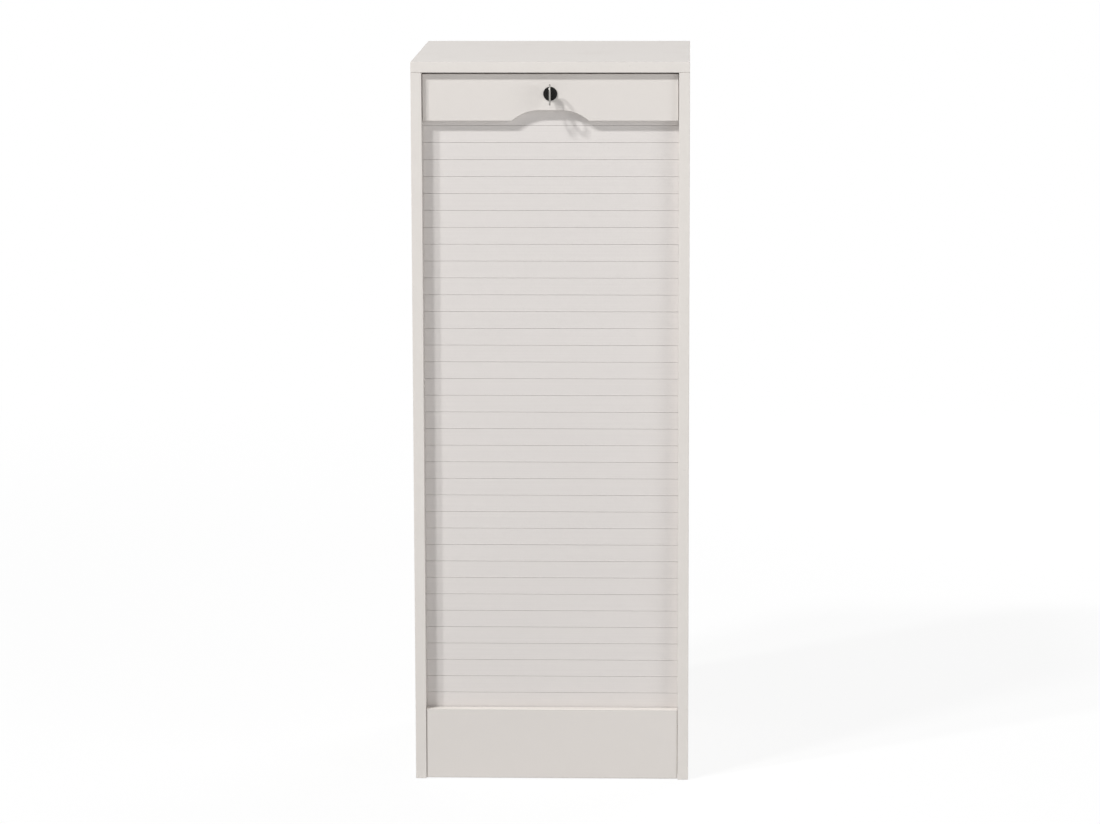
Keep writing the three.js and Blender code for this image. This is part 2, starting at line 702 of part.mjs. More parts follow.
addPiece('lock_housing', 'blackLock', lockHousing());
addPiece('lock_nut', 'zinc', lockNut());
addPiece('lock_plug', 'blackLock', lockPlug());
addPiece('lock_cam', 'zinc', lockCam());
addPiece('cam_screw', 'zinc', panScrew(
  new THREE.Vector3(0, camPlateBack + fitGap + camScrew.headHeight, lockHeight),
  outward,
  camScrew,
));
addPiece('door_key', 'nickel', doorKey());

export default cabinet;
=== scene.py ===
"""A tall tambour door cabinet: laminated carcass, slatted curtain, lockable lead rail and its key.

Metres throughout. +X is right, +Y goes into the cabinet and +Z is up, as in the frame.
"""
import logging
import math
from abc import ABC, abstractmethod
from collections.abc import Callable, Iterator, Mapping, Sequence
from contextlib import contextmanager
from dataclasses import dataclass, field
from enum import Enum, IntEnum

import bmesh
import bpy
from mathutils import Euler, Matrix, Vector


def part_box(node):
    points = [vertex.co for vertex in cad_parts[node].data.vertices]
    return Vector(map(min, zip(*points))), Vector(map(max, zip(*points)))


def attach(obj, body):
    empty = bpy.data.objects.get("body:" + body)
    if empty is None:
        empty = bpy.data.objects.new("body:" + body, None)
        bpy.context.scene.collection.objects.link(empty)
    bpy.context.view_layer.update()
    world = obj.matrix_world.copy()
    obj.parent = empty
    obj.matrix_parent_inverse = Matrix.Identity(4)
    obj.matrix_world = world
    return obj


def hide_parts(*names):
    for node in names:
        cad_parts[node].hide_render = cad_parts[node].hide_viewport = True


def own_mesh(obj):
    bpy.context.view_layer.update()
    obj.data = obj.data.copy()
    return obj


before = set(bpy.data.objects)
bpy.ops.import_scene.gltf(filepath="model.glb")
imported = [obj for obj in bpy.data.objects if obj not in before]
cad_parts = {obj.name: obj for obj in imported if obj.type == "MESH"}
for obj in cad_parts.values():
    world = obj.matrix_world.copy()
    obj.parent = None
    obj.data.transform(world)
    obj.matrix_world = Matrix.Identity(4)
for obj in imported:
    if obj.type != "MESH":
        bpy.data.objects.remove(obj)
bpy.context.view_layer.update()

log = logging.getLogger("cabinet")

Face = bmesh.types.BMFace
Edge = bmesh.types.BMEdge
FaceTest = Callable[[Face], bool]
EdgeTest = Callable[[Edge], bool]
Socket = bpy.types.NodeSocket
Material = bpy.types.Material
Colour = tuple[float, float, float]
Span = tuple[float, float]

RIGHT = Vector((1, 0, 0))
INWARD = Vector((0, 1, 0))
UP = Vector((0, 0, 1))
EVEN = (1.0, 1.0, 1.0)

# How faces and edges are told apart, and how far a cutter passes what it cuts.
FACING = 0.9
CORNER = math.radians(60)
FLAT_WITHIN = math.radians(1)
SMOOTH_BELOW = math.radians(32)
FLAT_FACE_WEIGHT = 90
LONG_EDGE = 0.01
TOUCHING = 1e-5
OVERRUN = 0.001
DIGITS = 5

# Spans of a value: all of it, and where most of a noise and of a sum of two noises lies.
WHOLE = (0.0, 1.0)
USUAL = (0.3, 0.7)
USUAL_SUM = (0.7, 1.3)

# The colour sockets of Blender's mixing node, by number.
MIX_COLOURS = (6, 7)
MIX_RESULT = 2


class Body(Enum):
    """The moving bodies of the cabinet."""

    CABINET = "cabinet"
    CURTAIN = "curtain"
    CYLINDER = "lock_cylinder"
    KEY = "key"


class Side(Enum):
    """Left or right, by the sign of x."""

    LEFT = -1
    RIGHT = 1


class Banding(Enum):
    """Which edges of a board are covered with edge band."""

    FRONT = "front"
    AROUND = "around"


class Head(Enum):
    """The form of a screw's head."""

    PAN = "pan"
    COUNTERSUNK = "countersunk"


class Slot(Enum):
    """The material slots of the record."""

    LAMINATE = "laminate"
    HARDBOARD = "hardboard"
    SLAT = "slat"
    ZINC = "zinc"
    BLACK_LOCK = "black_lock"
    NICKEL = "nickel"


class Pick(Enum):
    """What is chosen in edit mode."""

    FACES = "FACE"
    EDGES = "EDGE"


class Joining(Enum):
    """What a boolean does with the other piece."""

    CUT = "DIFFERENCE"
    WELD = "UNION"


class Coat(IntEnum):
    """What a face of a board shows, in the order of the board's material slots."""

    LAMINATE = 0
    BAND = 1
    GLUE = 2
    CORE = 3


class BackCoat(IntEnum):
    """What a face of a back panel shows, in the order of its material slots."""

    LACQUER = 0
    CUT = 1


class Sides(IntEnum):
    """How many sides stand for a round."""

    HEXAGON = 6
    PIN_HOLE = 20
    SCREW_HOLE = 24
    SMALL = 32
    CAM = 46
    WIDE_HOLE = 48
    RAIL_BORE = 64
    LARGE = 96


class Rounding(IntEnum):
    """How many faces stand for a rounded edge."""

    SLIGHT = 2
    PLAIN = 3
    FULL = 4


# Finishes


@dataclass(frozen=True)
class Grain:
    """The soft noise of a finish.

    Attributes:
        scale: features in a metre.
        detail: octaves.
        stretch: how much denser it is along each axis.
    """

    scale: float
    detail: float
    stretch: Colour = EVEN


@dataclass(frozen=True)
class Relief:
    """The fine relief of a finish.

    Attributes:
        depth: its real depth in metres.
        strength: how much of it shows.
    """

    depth: float
    strength: float = 1.0


class Recipe:
    """The nodes of one material, wired from Object coordinates to its shader."""

    def __init__(self, name: str) -> None:
        """Starts an empty material.

        Args:
            name: the material's name.
        """
        self.material = bpy.data.materials.new(name)
        self.material.use_nodes = True
        self.tree = self.material.node_tree
        self.shader = self.tree.nodes["Principled BSDF"]
        self.place = self.tree.nodes.new("ShaderNodeTexCoord").outputs["Object"]

    def node(self, kind: str, **inputs: object) -> bpy.types.Node:
        """Adds a node and fills its inputs.

        Args:
            kind: the node's type, without its ShaderNode prefix.
            inputs: values or sockets by the input's name, with _ for a space.

        Returns:
            The new node.
        """
        made = self.tree.nodes.new("ShaderNode" + kind)
        for label, value in inputs.items():
            self.feed(made.inputs[label.replace("_", " ")], value)
        return made

    def feed(self, socket: Socket, value: object) -> None:
        """Links a socket to another, or sets its value.

        Args:
            socket: the input to feed.
            value: a plain value, or the output to link to it.
        """
        if isinstance(value, Socket):
            self.tree.links.new(value, socket)
        else:
            socket.default_value = value

    def noise(self, grain: Grain) -> Socket:
        """Soft noise, about 0.5 on average.

        Args:
            grain: how fine it is, and how it is stretched.

        Returns:
            The noise's factor.
        """
        place = self.node("Mapping", Vector=self.place, Scale=grain.stretch).outputs["Vector"]
        return self.node("TexNoise", Vector=place, Scale=grain.scale, Detail=grain.detail).outputs["Fac"]

    def flakes(self, scale: float) -> bpy.types.Node:
        """Cells like pressed wood flakes, as a Voronoi texture node."""
        return self.node("TexVoronoi", Vector=self.place, Scale=scale)

    def ranged(self, value: Socket, span: Span, to: Span = WHOLE) -> Socket:
        """A value moved from one span to another, and held inside it."""
        names = dict(zip(("From_Min", "From_Max", "To_Min", "To_Max"), (*span, *to), strict=True))
        return self.node("MapRange", Value=value, **names).outputs["Result"]

    def weakened(self, value: Socket, share: float) -> Socket:
        """A value from 0 to 1, brought down to a share of itself."""
        return self.ranged(value, WHOLE, (0, share))

    def mixed(self, factor: Socket, low: object, high: object) -> Socket:
        """A colour between two others.

        Args:
            factor: 0 for the low colour and 1 for the high one.
            low: a colour or a socket.
            high: a colour or a socket.

        Returns:
            The mixed colour.
        """
        made = self.tree.nodes.new("ShaderNodeMix")
        made.data_type = "RGBA"
        self.feed(made.inputs["Factor"], factor)
        for index, value in zip(MIX_COLOURS, (low, high), strict=True):
            self.feed(made.inputs[index], value if isinstance(value, Socket) else (*value, 1.0))
        return made.outputs[MIX_RESULT]

    def toned(self, factor: Socket, colour: Colour, shades: Span) -> Socket:
        """A colour that goes from one shade of itself to another."""
        return self.mixed(factor, shade(colour, shades[0]), shade(colour, shades[1]))

    def added(self, one: Socket, other: object) -> Socket:
        """The sum of two values.

        Args:
            one: an output.
            other: an output or a number.

        Returns:
            The sum's output.
        """
        made = self.tree.nodes.new("ShaderNodeMath")
        self.feed(made.inputs[0], one)
        self.feed(made.inputs[1], other)
        return made.outputs[0]

    def bumped(self, height: Socket, relief: Relief) -> None:
        """Turns a height into the shader's normal.

        Args:
            height: the height's socket, from 0 to 1.
            relief: how deep it is.
        """
        made = self.node("Bump", Height=height, Distance=relief.depth, Strength=relief.strength)
        self.feed(self.shader.inputs["Normal"], made.outputs["Normal"])

    def finish(self, colour: object, roughness: object, **constants: float) -> Material:
        """Feeds the shader.

        Args:
            colour: a colour or a socket.
            roughness: a value or a socket.
            constants: other inputs of the shader, with _ for a space.

        Returns:
            The finished material.
        """
        value = colour if isinstance(colour, Socket) else (*colour, 1.0)
        self.feed(self.shader.inputs["Base Color"], value)
        self.feed(self.shader.inputs["Roughness"], roughness)
        for label, constant in constants.items():
            self.shader.inputs[label.replace("_", " ")].default_value = constant
        return self.material


def shade(colour: Colour, factor: float) -> Colour:
    """A colour made lighter or darker by a factor."""
    return tuple(part * factor for part in colour)


@dataclass(frozen=True)
class Finish(ABC):
    """A finish, made into a material the first time that it is used."""

    name: str
    colour: Colour

    def material(self) -> Material:
        """The finish's material."""
        return bpy.data.materials.get(self.name) or self.make()

    @abstractmethod
    def make(self) -> Material:
        """Builds the material's nodes and returns it."""


@dataclass(frozen=True)
class Laminate(Finish):
    """Melamine-faced board: satin, finely pearled, with faint cloudiness and rub marks."""

    pearl: Grain = Grain(2600.0, 3.0)
    pearl_span: Span = (0.35, 0.65)
    pearl_share: float = 0.1
    pearl_shade: float = 0.86
    cloud: Grain = Grain(3.5, 4.0)
    cloud_shades: Span = (0.975, 1.025)
    rub: Grain = Grain(14.0, 8.0, (1, 1, 3))
    rub_span: Span = (0.55, 0.8)
    rub_share: float = 0.12
    rub_shade: float = 0.93
    rub_dulling: float = 0.12
    roughness: Span = (0.45, 0.55)
    specular: float = 0.3
    relief: Relief = Relief(0.00003, 0.35)

    def make(self) -> Material:
        """Builds the material's nodes.

        Returns:
            The material.
        """
        recipe = Recipe(self.name)
        pearl = recipe.noise(self.pearl)
        cloud = recipe.noise(self.cloud)
        rubs = recipe.ranged(recipe.noise(self.rub), self.rub_span)
        clouded = recipe.toned(cloud, self.colour, self.cloud_shades)
        pearls = recipe.ranged(pearl, self.pearl_span, (0, self.pearl_share))
        pearled = recipe.mixed(pearls, clouded, shade(self.colour, self.pearl_shade))
        rubbed = recipe.weakened(rubs, self.rub_share)
        worn = recipe.mixed(rubbed, pearled, shade(self.colour, self.rub_shade))
        recipe.bumped(pearl, self.relief)
        gloss = recipe.ranged(cloud, USUAL, self.roughness)
        rough = recipe.added(gloss, recipe.weakened(rubs, self.rub_dulling))
        return recipe.finish(worn, rough, Specular_IOR_Level=self.specular)


@dataclass(frozen=True)
class EdgeBand(Finish):
    """Plastic edge band: smoother than the board, with nicks and a little soiling along it."""

    nick: Grain = Grain(210.0, 4.0)
    nick_span: Span = (0.68, 0.76)
    nick_share: float = 0.3
    nick_shade: float = 0.74
    soil: Grain = Grain(30.0, 6.0)
    soil_shades: Span = (1.03, 0.965)
    soil_height: float = 0.4
    roughness: Span = (0.32, 0.44)
    specular: float = 0.45
    relief: Relief = Relief(0.00012, 0.5)

    def make(self) -> Material:
        """Builds the material's nodes.

        Returns:
            The material.
        """
        recipe = Recipe(self.name)
        nicks = recipe.ranged(recipe.noise(self.nick), self.nick_span)
        soil = recipe.noise(self.soil)
        tone = recipe.toned(soil, self.colour, self.soil_shades)
        marks = recipe.weakened(nicks, self.nick_share)
        nicked = recipe.mixed(marks, tone, shade(self.colour, self.nick_shade))
        level = recipe.ranged(nicks, WHOLE, (1, 0))
        recipe.bumped(recipe.added(level, recipe.weakened(soil, self.soil_height)), self.relief)
        rough = recipe.ranged(soil, USUAL, self.roughness)
        return recipe.finish(nicked, rough, Specular_IOR_Level=self.specular)


@dataclass(frozen=True)
class GlueLine(Finish):
    """The hairline of glue between a board and its edge band."""

    breaks: Grain = Grain(120.0, 3.0)
    shades: Span = (0.8, 1.25)
    roughness: Span = (0.55, 0.8)
    relief: Relief = Relief(0.00008)

    def make(self) -> Material:
        """Builds the material's nodes.

        Returns:
            The material.
        """
        recipe = Recipe(self.name)
        breaks = recipe.noise(self.breaks)
        tone = recipe.toned(breaks, self.colour, self.shades)
        recipe.bumped(breaks, self.relief)
        return recipe.finish(tone, recipe.ranged(breaks, USUAL, self.roughness))


@dataclass(frozen=True)
class Chipboard(Finish):
    """The raw core of a board, where it is routed, drilled or left without band."""

    flake_scale: float = 760.0
    flake_shades: Span = (0.55, 1.35)
    dust: Grain = Grain(1900.0, 4.0)
    dust_span: Span = (0.35, 0.65)
    dust_share: float = 0.5
    dust_shade: float = 0.85
    roughness: Span = (0.8, 0.95)
    relief: Relief = Relief(0.0003, 0.6)

    def make(self) -> Material:
        """Builds the material's nodes.

        Returns:
            The material.
        """
        recipe = Recipe(self.name)
        cells = recipe.flakes(self.flake_scale)
        dust = recipe.noise(self.dust)
        flakes = recipe.toned(cells.outputs["Color"], self.colour, self.flake_shades)
        dusting = recipe.ranged(dust, self.dust_span, (0, self.dust_share))
        tone = recipe.mixed(dusting, flakes, shade(self.colour, self.dust_shade))
        recipe.bumped(recipe.added(cells.outputs["Distance"], dust), self.relief)
        return recipe.finish(tone, recipe.ranged(dust, USUAL, self.roughness))


@dataclass(frozen=True)
class SlatPlastic(Finish):
    """Extruded plastic of the curtain: long draw lines, satin gloss, a slight unevenness."""

    draw: Grain = Grain(900.0, 3.0, (0.004, 1, 1))
    draw_span: Span = (0.35, 0.65)
    draw_share: float = 0.22
    draw_shade: float = 0.9
    cloud: Grain = Grain(5.0, 4.0)
    cloud_shades: Span = (0.975, 1.02)
    scuff: Grain = Grain(45.0, 8.0, (1, 1, 4))
    scuff_span: Span = (0.6, 0.78)
    scuff_share: float = 0.14
    scuff_shade: float = 0.88
    scuff_dulling: float = 0.15
    roughness: Span = (0.35, 0.45)
    specular: float = 0.45
    relief: Relief = Relief(0.00004, 0.6)

    def make(self) -> Material:
        """Builds the material's nodes.

        Returns:
            The material.
        """
        recipe = Recipe(self.name)
        lines = recipe.noise(self.draw)
        scuffs = recipe.ranged(recipe.noise(self.scuff), self.scuff_span)
        tone = recipe.toned(recipe.noise(self.cloud), self.colour, self.cloud_shades)
        faint = recipe.ranged(lines, self.draw_span, (0, self.draw_share))
        drawn = recipe.mixed(faint, tone, shade(self.colour, self.draw_shade))
        rubbed = recipe.weakened(scuffs, self.scuff_share)
        scuffed = recipe.mixed(rubbed, drawn, shade(self.colour, self.scuff_shade))
        recipe.bumped(lines, self.relief)
        gloss = recipe.ranged(lines, USUAL, self.roughness)
        rough = recipe.added(gloss, recipe.weakened(scuffs, self.scuff_dulling))
        return recipe.finish(scuffed, rough, Specular_IOR_Level=self.specular)


@dataclass(frozen=True)
class Fibreboard(Finish):
    """Thin fibreboard with a pressed fibre texture: lacquered on its faces, brown where it is cut."""

    fibre: Grain = Grain(700.0, 5.0, (1, 1, 0.35))
    fibre_span: Span = (0.4, 0.7)
    fibre_share: float = 0.16
    fibre_shade: float = 0.72
    cloud: Grain = Grain(4.0, 5.0)
    cloud_shades: Span = (0.95, 1.04)
    roughness: Span = (0.45, 0.62)
    specular: float = 0.3
    relief: Relief = Relief(0.00008, 0.5)

    def make(self) -> Material:
        """Builds the material's nodes.

        Returns:
            The material.
        """
        recipe = Recipe(self.name)
        fibres = recipe.noise(self.fibre)
        cloud = recipe.noise(self.cloud)
        tone = recipe.toned(cloud, self.colour, self.cloud_shades)
        pressed = recipe.ranged(fibres, self.fibre_span, (0, self.fibre_share))
        fibred = recipe.mixed(pressed, tone, shade(self.colour, self.fibre_shade))
        recipe.bumped(fibres, self.relief)
        rough = recipe.ranged(recipe.added(fibres, cloud), USUAL_SUM, self.roughness)
        return recipe.finish(fibred, rough, Specular_IOR_Level=self.specular)


@dataclass(frozen=True)
class Beech(Finish):
    """Turned beech of the dowels, with its short dark flecks."""

    grain: Grain = Grain(900.0, 5.0, (0.08, 1, 1))
    grain_shades: Span = (0.8, 1.15)
    fleck: Grain = Grain(1500.0, 2.0, (0.12, 1, 1))
    fleck_span: Span = (0.6, 0.72)
    fleck_share: float = 0.5
    fleck_shade: float = 0.45
    roughness: Span = (0.62, 0.8)
    relief: Relief = Relief(0.0001, 0.6)

    def make(self) -> Material:
        """Builds the material's nodes.

        Returns:
            The material.
        """
        recipe = Recipe(self.name)
        grain = recipe.noise(self.grain)
        flecks = recipe.ranged(recipe.noise(self.fleck), self.fleck_span, (0, self.fleck_share))
        tone = recipe.toned(grain, self.colour, self.grain_shades)
        flecked = recipe.mixed(flecks, tone, shade(self.colour, self.fleck_shade))
        recipe.bumped(grain, self.relief)
        return recipe.finish(flecked, recipe.ranged(grain, USUAL, self.roughness))


@dataclass(frozen=True)
class Plated(Finish):
    """Plated metal, from bright nickel to dull zinc."""

    roughness: Span = (0.24, 0.4)
    mottle: Grain = Grain(260.0, 5.0)
    mottle_span: Span = (0.4, 0.75)
    mottle_share: float = 0.25
    tarnish_shade: float = 0.6
    brush: Grain = Grain(2400.0, 2.0)
    relief: Relief = Relief(0.00001, 0.4)

    def make(self) -> Material:
        """Builds the material's nodes.

        Returns:
            The material.
        """
        recipe = Recipe(self.name)
        mottle = recipe.noise(self.mottle)
        brushed = recipe.noise(self.brush)
        tarnish = recipe.ranged(mottle, self.mottle_span, (0, self.mottle_share))
        tone = recipe.mixed(tarnish, self.colour, shade(self.colour, self.tarnish_shade))
        rough = recipe.ranged(recipe.added(mottle, brushed), USUAL_SUM, self.roughness)
        recipe.bumped(brushed, self.relief)
        return recipe.finish(tone, rough, Metallic=1.0)


@dataclass(frozen=True)
class BlackLacquer(Finish):
    """Black lacquer on the lock, worn to a dull sheen where keys rub it."""

    wear: Grain = Grain(480.0, 6.0)
    wear_span: Span = (0.3, 0.75)
    rub_span: Span = (0.58, 0.75)
    rub_share: float = 0.35
    rub_colour: Colour = (0.03, 0.03, 0.028)
    roughness: Span = (0.24, 0.46)
    specular: float = 0.2
    relief: Relief = Relief(0.00003, 0.35)

    def make(self) -> Material:
        """Builds the material's nodes.

        Returns:
            The material.
        """
        recipe = Recipe(self.name)
        wear = recipe.noise(self.wear)
        rubbed = recipe.weakened(recipe.ranged(wear, self.rub_span), self.rub_share)
        tone = recipe.mixed(rubbed, self.colour, self.rub_colour)
        rough = recipe.ranged(wear, self.wear_span, self.roughness)
        recipe.bumped(wear, self.relief)
        return recipe.finish(tone, rough, Specular_IOR_Level=self.specular)


LAMINATE = Laminate("satin_laminate", (0.732, 0.694, 0.661))
EDGE_BAND = EdgeBand("edge_band", (0.742, 0.705, 0.668))
GLUE_LINE = GlueLine("glue_line", (0.36, 0.33, 0.28))
CHIPBOARD = Chipboard("raw_chipboard", (0.44, 0.31, 0.19))
SLAT_PLASTIC = SlatPlastic("slat_plastic", (0.734, 0.698, 0.675))
FIBREBOARD = Fibreboard("lacquered_fibreboard", (0.66, 0.62, 0.575))
CUT_FIBRE = Fibreboard("cut_fibreboard", (0.2, 0.115, 0.06), fibre_share=0.6, roughness=(0.77, 0.94))
BEECH = Beech("dowel_beech", (0.56, 0.37, 0.19))
ZINC = Plated("dull_zinc", (0.46, 0.475, 0.49), (0.28, 0.44))
YELLOW_ZINC = Plated("yellow_zinc", (0.35, 0.25, 0.1), (0.32, 0.48), mottle_share=0.5)
# The key's nickel is painted darker than bare nickel: a painted reflection of dark surroundings, with
# random tarnish besides.
NICKEL = Plated("nickel_darkened_as_painted_reflection", (0.4, 0.39, 0.37), (0.21, 0.37), mottle_share=0.3)
BLACK_LACQUER = BlackLacquer("black_lacquer", (0.007, 0.0068, 0.0062))
BOARD_FINISHES = (LAMINATE, EDGE_BAND, GLUE_LINE, CHIPBOARD)


SHELF_PINS = [f"shelf_pin_{i}" for i in range(1, 9)]
TOP_CAMS = [f"cam_housing_{i}" for i in range(1, 5)]


# The bench


def is_corner(edge: Edge) -> bool:
    """True where two faces meet at a sharp angle."""
    return edge.is_manifold and edge.calc_face_angle(0) > CORNER


def facing(way: Vector) -> FaceTest:
    """A test for faces that look one way."""
    return lambda face: face.normal.dot(way) > FACING


def rim_beyond(way: Vector, reach: float) -> EdgeTest:
    """A test for sharp edges that lie at or past a plane square to a way, at that reach along it."""
    return lambda edge: is_corner(edge) and all(end.co.dot(way) > reach - TOUCHING for end in edge.verts)


def running(way: Vector, least: float) -> EdgeTest:
    """A test for sharp edges that go along a way for longer than a length."""
    return lambda edge: is_corner(edge) and abs((edge.verts[1].co - edge.verts[0].co).dot(way)) > least


def crossing(way: Vector) -> EdgeTest:
    """A test for sharp edges that lie square to a way."""
    return lambda edge: is_corner(edge) and abs((edge.verts[1].co - edge.verts[0].co).dot(way)) < TOUCHING


def everything(_: object) -> bool:
    """Chooses all that there is."""
    return True


class Workpiece:
    """One object on the bench, shaped in edit mode as by hand."""

    def __init__(self, obj: bpy.types.Object) -> None:
        """Takes an object whose place is in its mesh."""
        self.obj = obj

    @classmethod
    def placed(cls, name: str) -> "Workpiece":
        """Names the object that is active and puts its place into its mesh.

        Args:
            name: the piece's name.

        Returns:
            The piece.
        """
        obj = bpy.context.active_object
        obj.name = name
        obj.data.name = name
        bpy.ops.object.transform_apply(location=True, rotation=True, scale=True)
        return cls(obj)

    @classmethod
    def box(cls, name: str, low: Vector, high: Vector) -> "Workpiece":
        """A block between two corners, in any order.

        Args:
            name: the piece's name.
            low: one corner.
            high: the opposite corner.

        Returns:
            The new piece.
        """
        bpy.ops.object.select_all(action="DESELECT")
        size = [abs(b - a) for a, b in zip(low, high, strict=True)]
        bpy.ops.mesh.primitive_cube_add(size=1, location=(low + high) / 2, scale=size)
        return cls.placed(name)

    @classmethod
    def rod(cls, name: str, start: Vector, end: Vector, radius: float, sides: Sides) -> "Workpiece":
        """A round bar.

        Args:
            name: the piece's name.
            start: the middle of one end.
            end: the middle of the other.
            radius: the bar's radius.
            sides: how many sides stand for its round.

        Returns:
            The new piece.
        """
        bpy.ops.object.select_all(action="DESELECT")
        along = end - start
        turn = along.to_track_quat("Z", "Y").to_euler()
        bpy.ops.mesh.primitive_cylinder_add(
            vertices=sides, radius=radius, depth=along.length, location=(start + end) / 2, rotation=turn,
        )
        return cls.placed(name)

    @classmethod
    def from_curve(cls, name: str, curve: bpy.types.Curve, turn: Euler, place: Vector) -> "Workpiece":
        """A mesh made of a curve that is drawn flat.

        Args:
            name: the piece's name.
            curve: the curve's data.
            turn: how the drawing plane is turned.
            place: where its origin goes.

        Returns:
            The new piece, closed and with its faces outwards.
        """
        obj = bpy.data.objects.new(name, curve)
        bpy.context.scene.collection.objects.link(obj)
        piece = cls(obj)
        piece.activate()
        bpy.ops.object.convert(target="MESH")
        piece.obj = bpy.context.active_object
        piece.obj.rotation_euler = turn
        piece.obj.location = place
        made = cls.placed(name)
        made.close_up()
        return made

    @classmethod
    def refined(cls, name: str, node: str) -> "Workpiece":
        """A merged copy of a node's mesh, ready to be shaped further.

        Args:
            name: the copy's name.
            node: the node's name.

        Returns:
            The copy, its flat faces whole again.
        """
        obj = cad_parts[node].copy()
        obj.data = obj.data.copy()
        for key in list(obj.keys()):
            del obj[key]
        obj.parent = None
        obj.name = name
        obj.data.name = name
        bpy.context.scene.collection.objects.link(obj)
        piece = cls(obj)
        piece.close_up()
        with piece.editing(Pick.FACES, everything):
            bpy.ops.mesh.dissolve_limited(angle_limit=FLAT_WITHIN)
        return piece

    def activate(self) -> None:
        """Makes this the one selected object."""
        bpy.ops.object.select_all(action="DESELECT")
        self.obj.select_set(True)
        bpy.context.view_layer.objects.active = self.obj

    @contextmanager
    def editing(self, kind: Pick, test: Callable[[object], bool]) -> Iterator[None]:
        """Edit mode, with only what passes the test selected.

        Args:
            kind: whether faces or edges are chosen.
            test: chooses them.

        Yields:
            Nothing, while edit mode is on.
        """
        self.activate()
        bpy.ops.object.mode_set(mode="EDIT")
        bpy.ops.mesh.select_mode(type=kind.value)
        bpy.ops.mesh.select_all(action="DESELECT")
        shape = bmesh.from_edit_mesh(self.obj.data)
        for part in list(shape.faces if kind is Pick.FACES else shape.edges):
            if test(part):
                part.select_set(True)
        bmesh.update_edit_mesh(self.obj.data)
        try:
            yield
        finally:
            bpy.ops.object.mode_set(mode="OBJECT")

    def close_up(self) -> None:
        """Merges doubled points and turns the faces outwards."""
        with self.editing(Pick.FACES, everything):
            bpy.ops.mesh.remove_doubles(threshold=TOUCHING / 2)
            bpy.ops.mesh.normals_make_consistent(inside=False)

    def bevel(self, test: EdgeTest, radius: float, steps: Rounding = Rounding.PLAIN) -> "Workpiece":
        """Rounds the chosen edges.

        Args:
            test: chooses the edges.
            radius: how far the round reaches from each edge.
            steps: how many faces stand for the round.

        Returns:
            This piece.
        """
        with self.editing(Pick.EDGES, test):
            bpy.ops.mesh.bevel(offset=radius, segments=steps, affect="EDGES", clamp_overlap=True)
        return self

    def inset(self, test: FaceTest, width: float, depth: float = 0.0) -> "Workpiece":
        """Insets the chosen faces as one region, and sinks or raises them.

        Args:
            test: chooses the faces.
            width: how far the new rim reaches in.
            depth: how far the faces inside it rise, or sink below zero.

        Returns:
            This piece.
        """
        with self.editing(Pick.FACES, test):
            bpy.ops.mesh.inset(thickness=width, depth=depth)
        return self

    def extrude(self, test: FaceTest, *moves: tuple[Vector, Colour]) -> "Workpiece":
        """Draws the chosen faces out, step after step.

        Args:
            test: chooses the faces.
            moves: how far each step goes, and how much it widens along each axis.

        Returns:
            This piece.
        """
        with self.editing(Pick.FACES, test):
            for by, widen in moves:
                bpy.ops.mesh.extrude_region_move(TRANSFORM_OT_translate={"value": by})
                bpy.ops.transform.resize(value=widen)
        return self

    def slice(self, point: Vector, normal: Vector) -> "Workpiece":
        """Adds a loop of edges where a plane crosses the piece.

        Args:
            point: a point of the plane.
            normal: the way that is square to it.

        Returns:
            This piece.
        """
        with self.editing(Pick.FACES, everything):
            bpy.ops.mesh.bisect(plane_co=point, plane_no=normal)
        return self

    def plane(self, point: Vector, normal: Vector) -> "Workpiece":
        """Takes off what lies beyond a plane and closes the cut with a flat face.

        Args:
            point: a point of the plane.
            normal: the way that the new face looks.

        Returns:
            This piece.
        """
        with self.editing(Pick.FACES, everything):
            bpy.ops.mesh.bisect(plane_co=point, plane_no=normal, clear_outer=True, use_fill=True)
        return self

    def paint(self, test: FaceTest, coat: Coat | BackCoat) -> "Workpiece":
        """Gives the chosen faces another material of the piece.

        Args:
            test: chooses the faces.
            coat: what they show from now on.

        Returns:
            This piece.
        """
        with self.editing(Pick.FACES, test):
            self.obj.active_material_index = int(coat)
            bpy.ops.object.material_slot_assign()
        return self

    def modify(self, kind: str, **settings: object) -> "Workpiece":
        """Adds a modifier and applies it.

        Args:
            kind: the modifier's type.
            settings: its settings by name.

        Returns:
            This piece.
        """
        modifier = self.obj.modifiers.new(kind.lower(), kind)
        for name, value in settings.items():
            setattr(modifier, name, value)
        self.activate()
        bpy.ops.object.modifier_apply(modifier=modifier.name)
        return self

    def cut(self, *cutters: "Workpiece") -> "Workpiece":
        """Cuts other pieces out of this one and takes them off the bench."""
        return self.combine(Joining.CUT, *cutters)

    def unite(self, *others: "Workpiece") -> "Workpiece":
        """Welds other pieces to this one."""
        return self.combine(Joining.WELD, *others)

    def combine(self, joining: Joining, *others: "Workpiece") -> "Workpiece":
        """Applies a boolean with each of the others, which then leave, and clears faces with no area.

        Args:
            joining: whether the others are cut out or welded on.
            others: the other pieces.

        Returns:
            This piece.
        """
        for other in others:
            self.modify("BOOLEAN", operation=joining.value, solver="EXACT", object=other.obj)
            bpy.data.objects.remove(other.obj)
        with self.editing(Pick.FACES, everything):
            bpy.ops.mesh.dissolve_degenerate(threshold=TOUCHING / 2)
        return self

    def gather(self, others: Sequence["Workpiece"]) -> "Workpiece":
        """Joins pieces that don't touch into this one object.

        Args:
            others: the pieces to take in.

        Returns:
            This piece.
        """
        self.activate()
        for other in others:
            other.obj.select_set(True)
        bpy.ops.object.join()
        return self

    def copy(self, name: str, move: Matrix) -> "Workpiece":
        """A copy with its own mesh, moved or turned.

        Args:
            name: the copy's name.
            move: where the copy goes, from this piece.

        Returns:
            The copy, its place in its mesh.
        """
        self.activate()
        bpy.ops.object.duplicate(linked=False)
        made = bpy.context.active_object
        made.matrix_world = move
        return Workpiece.placed(name)

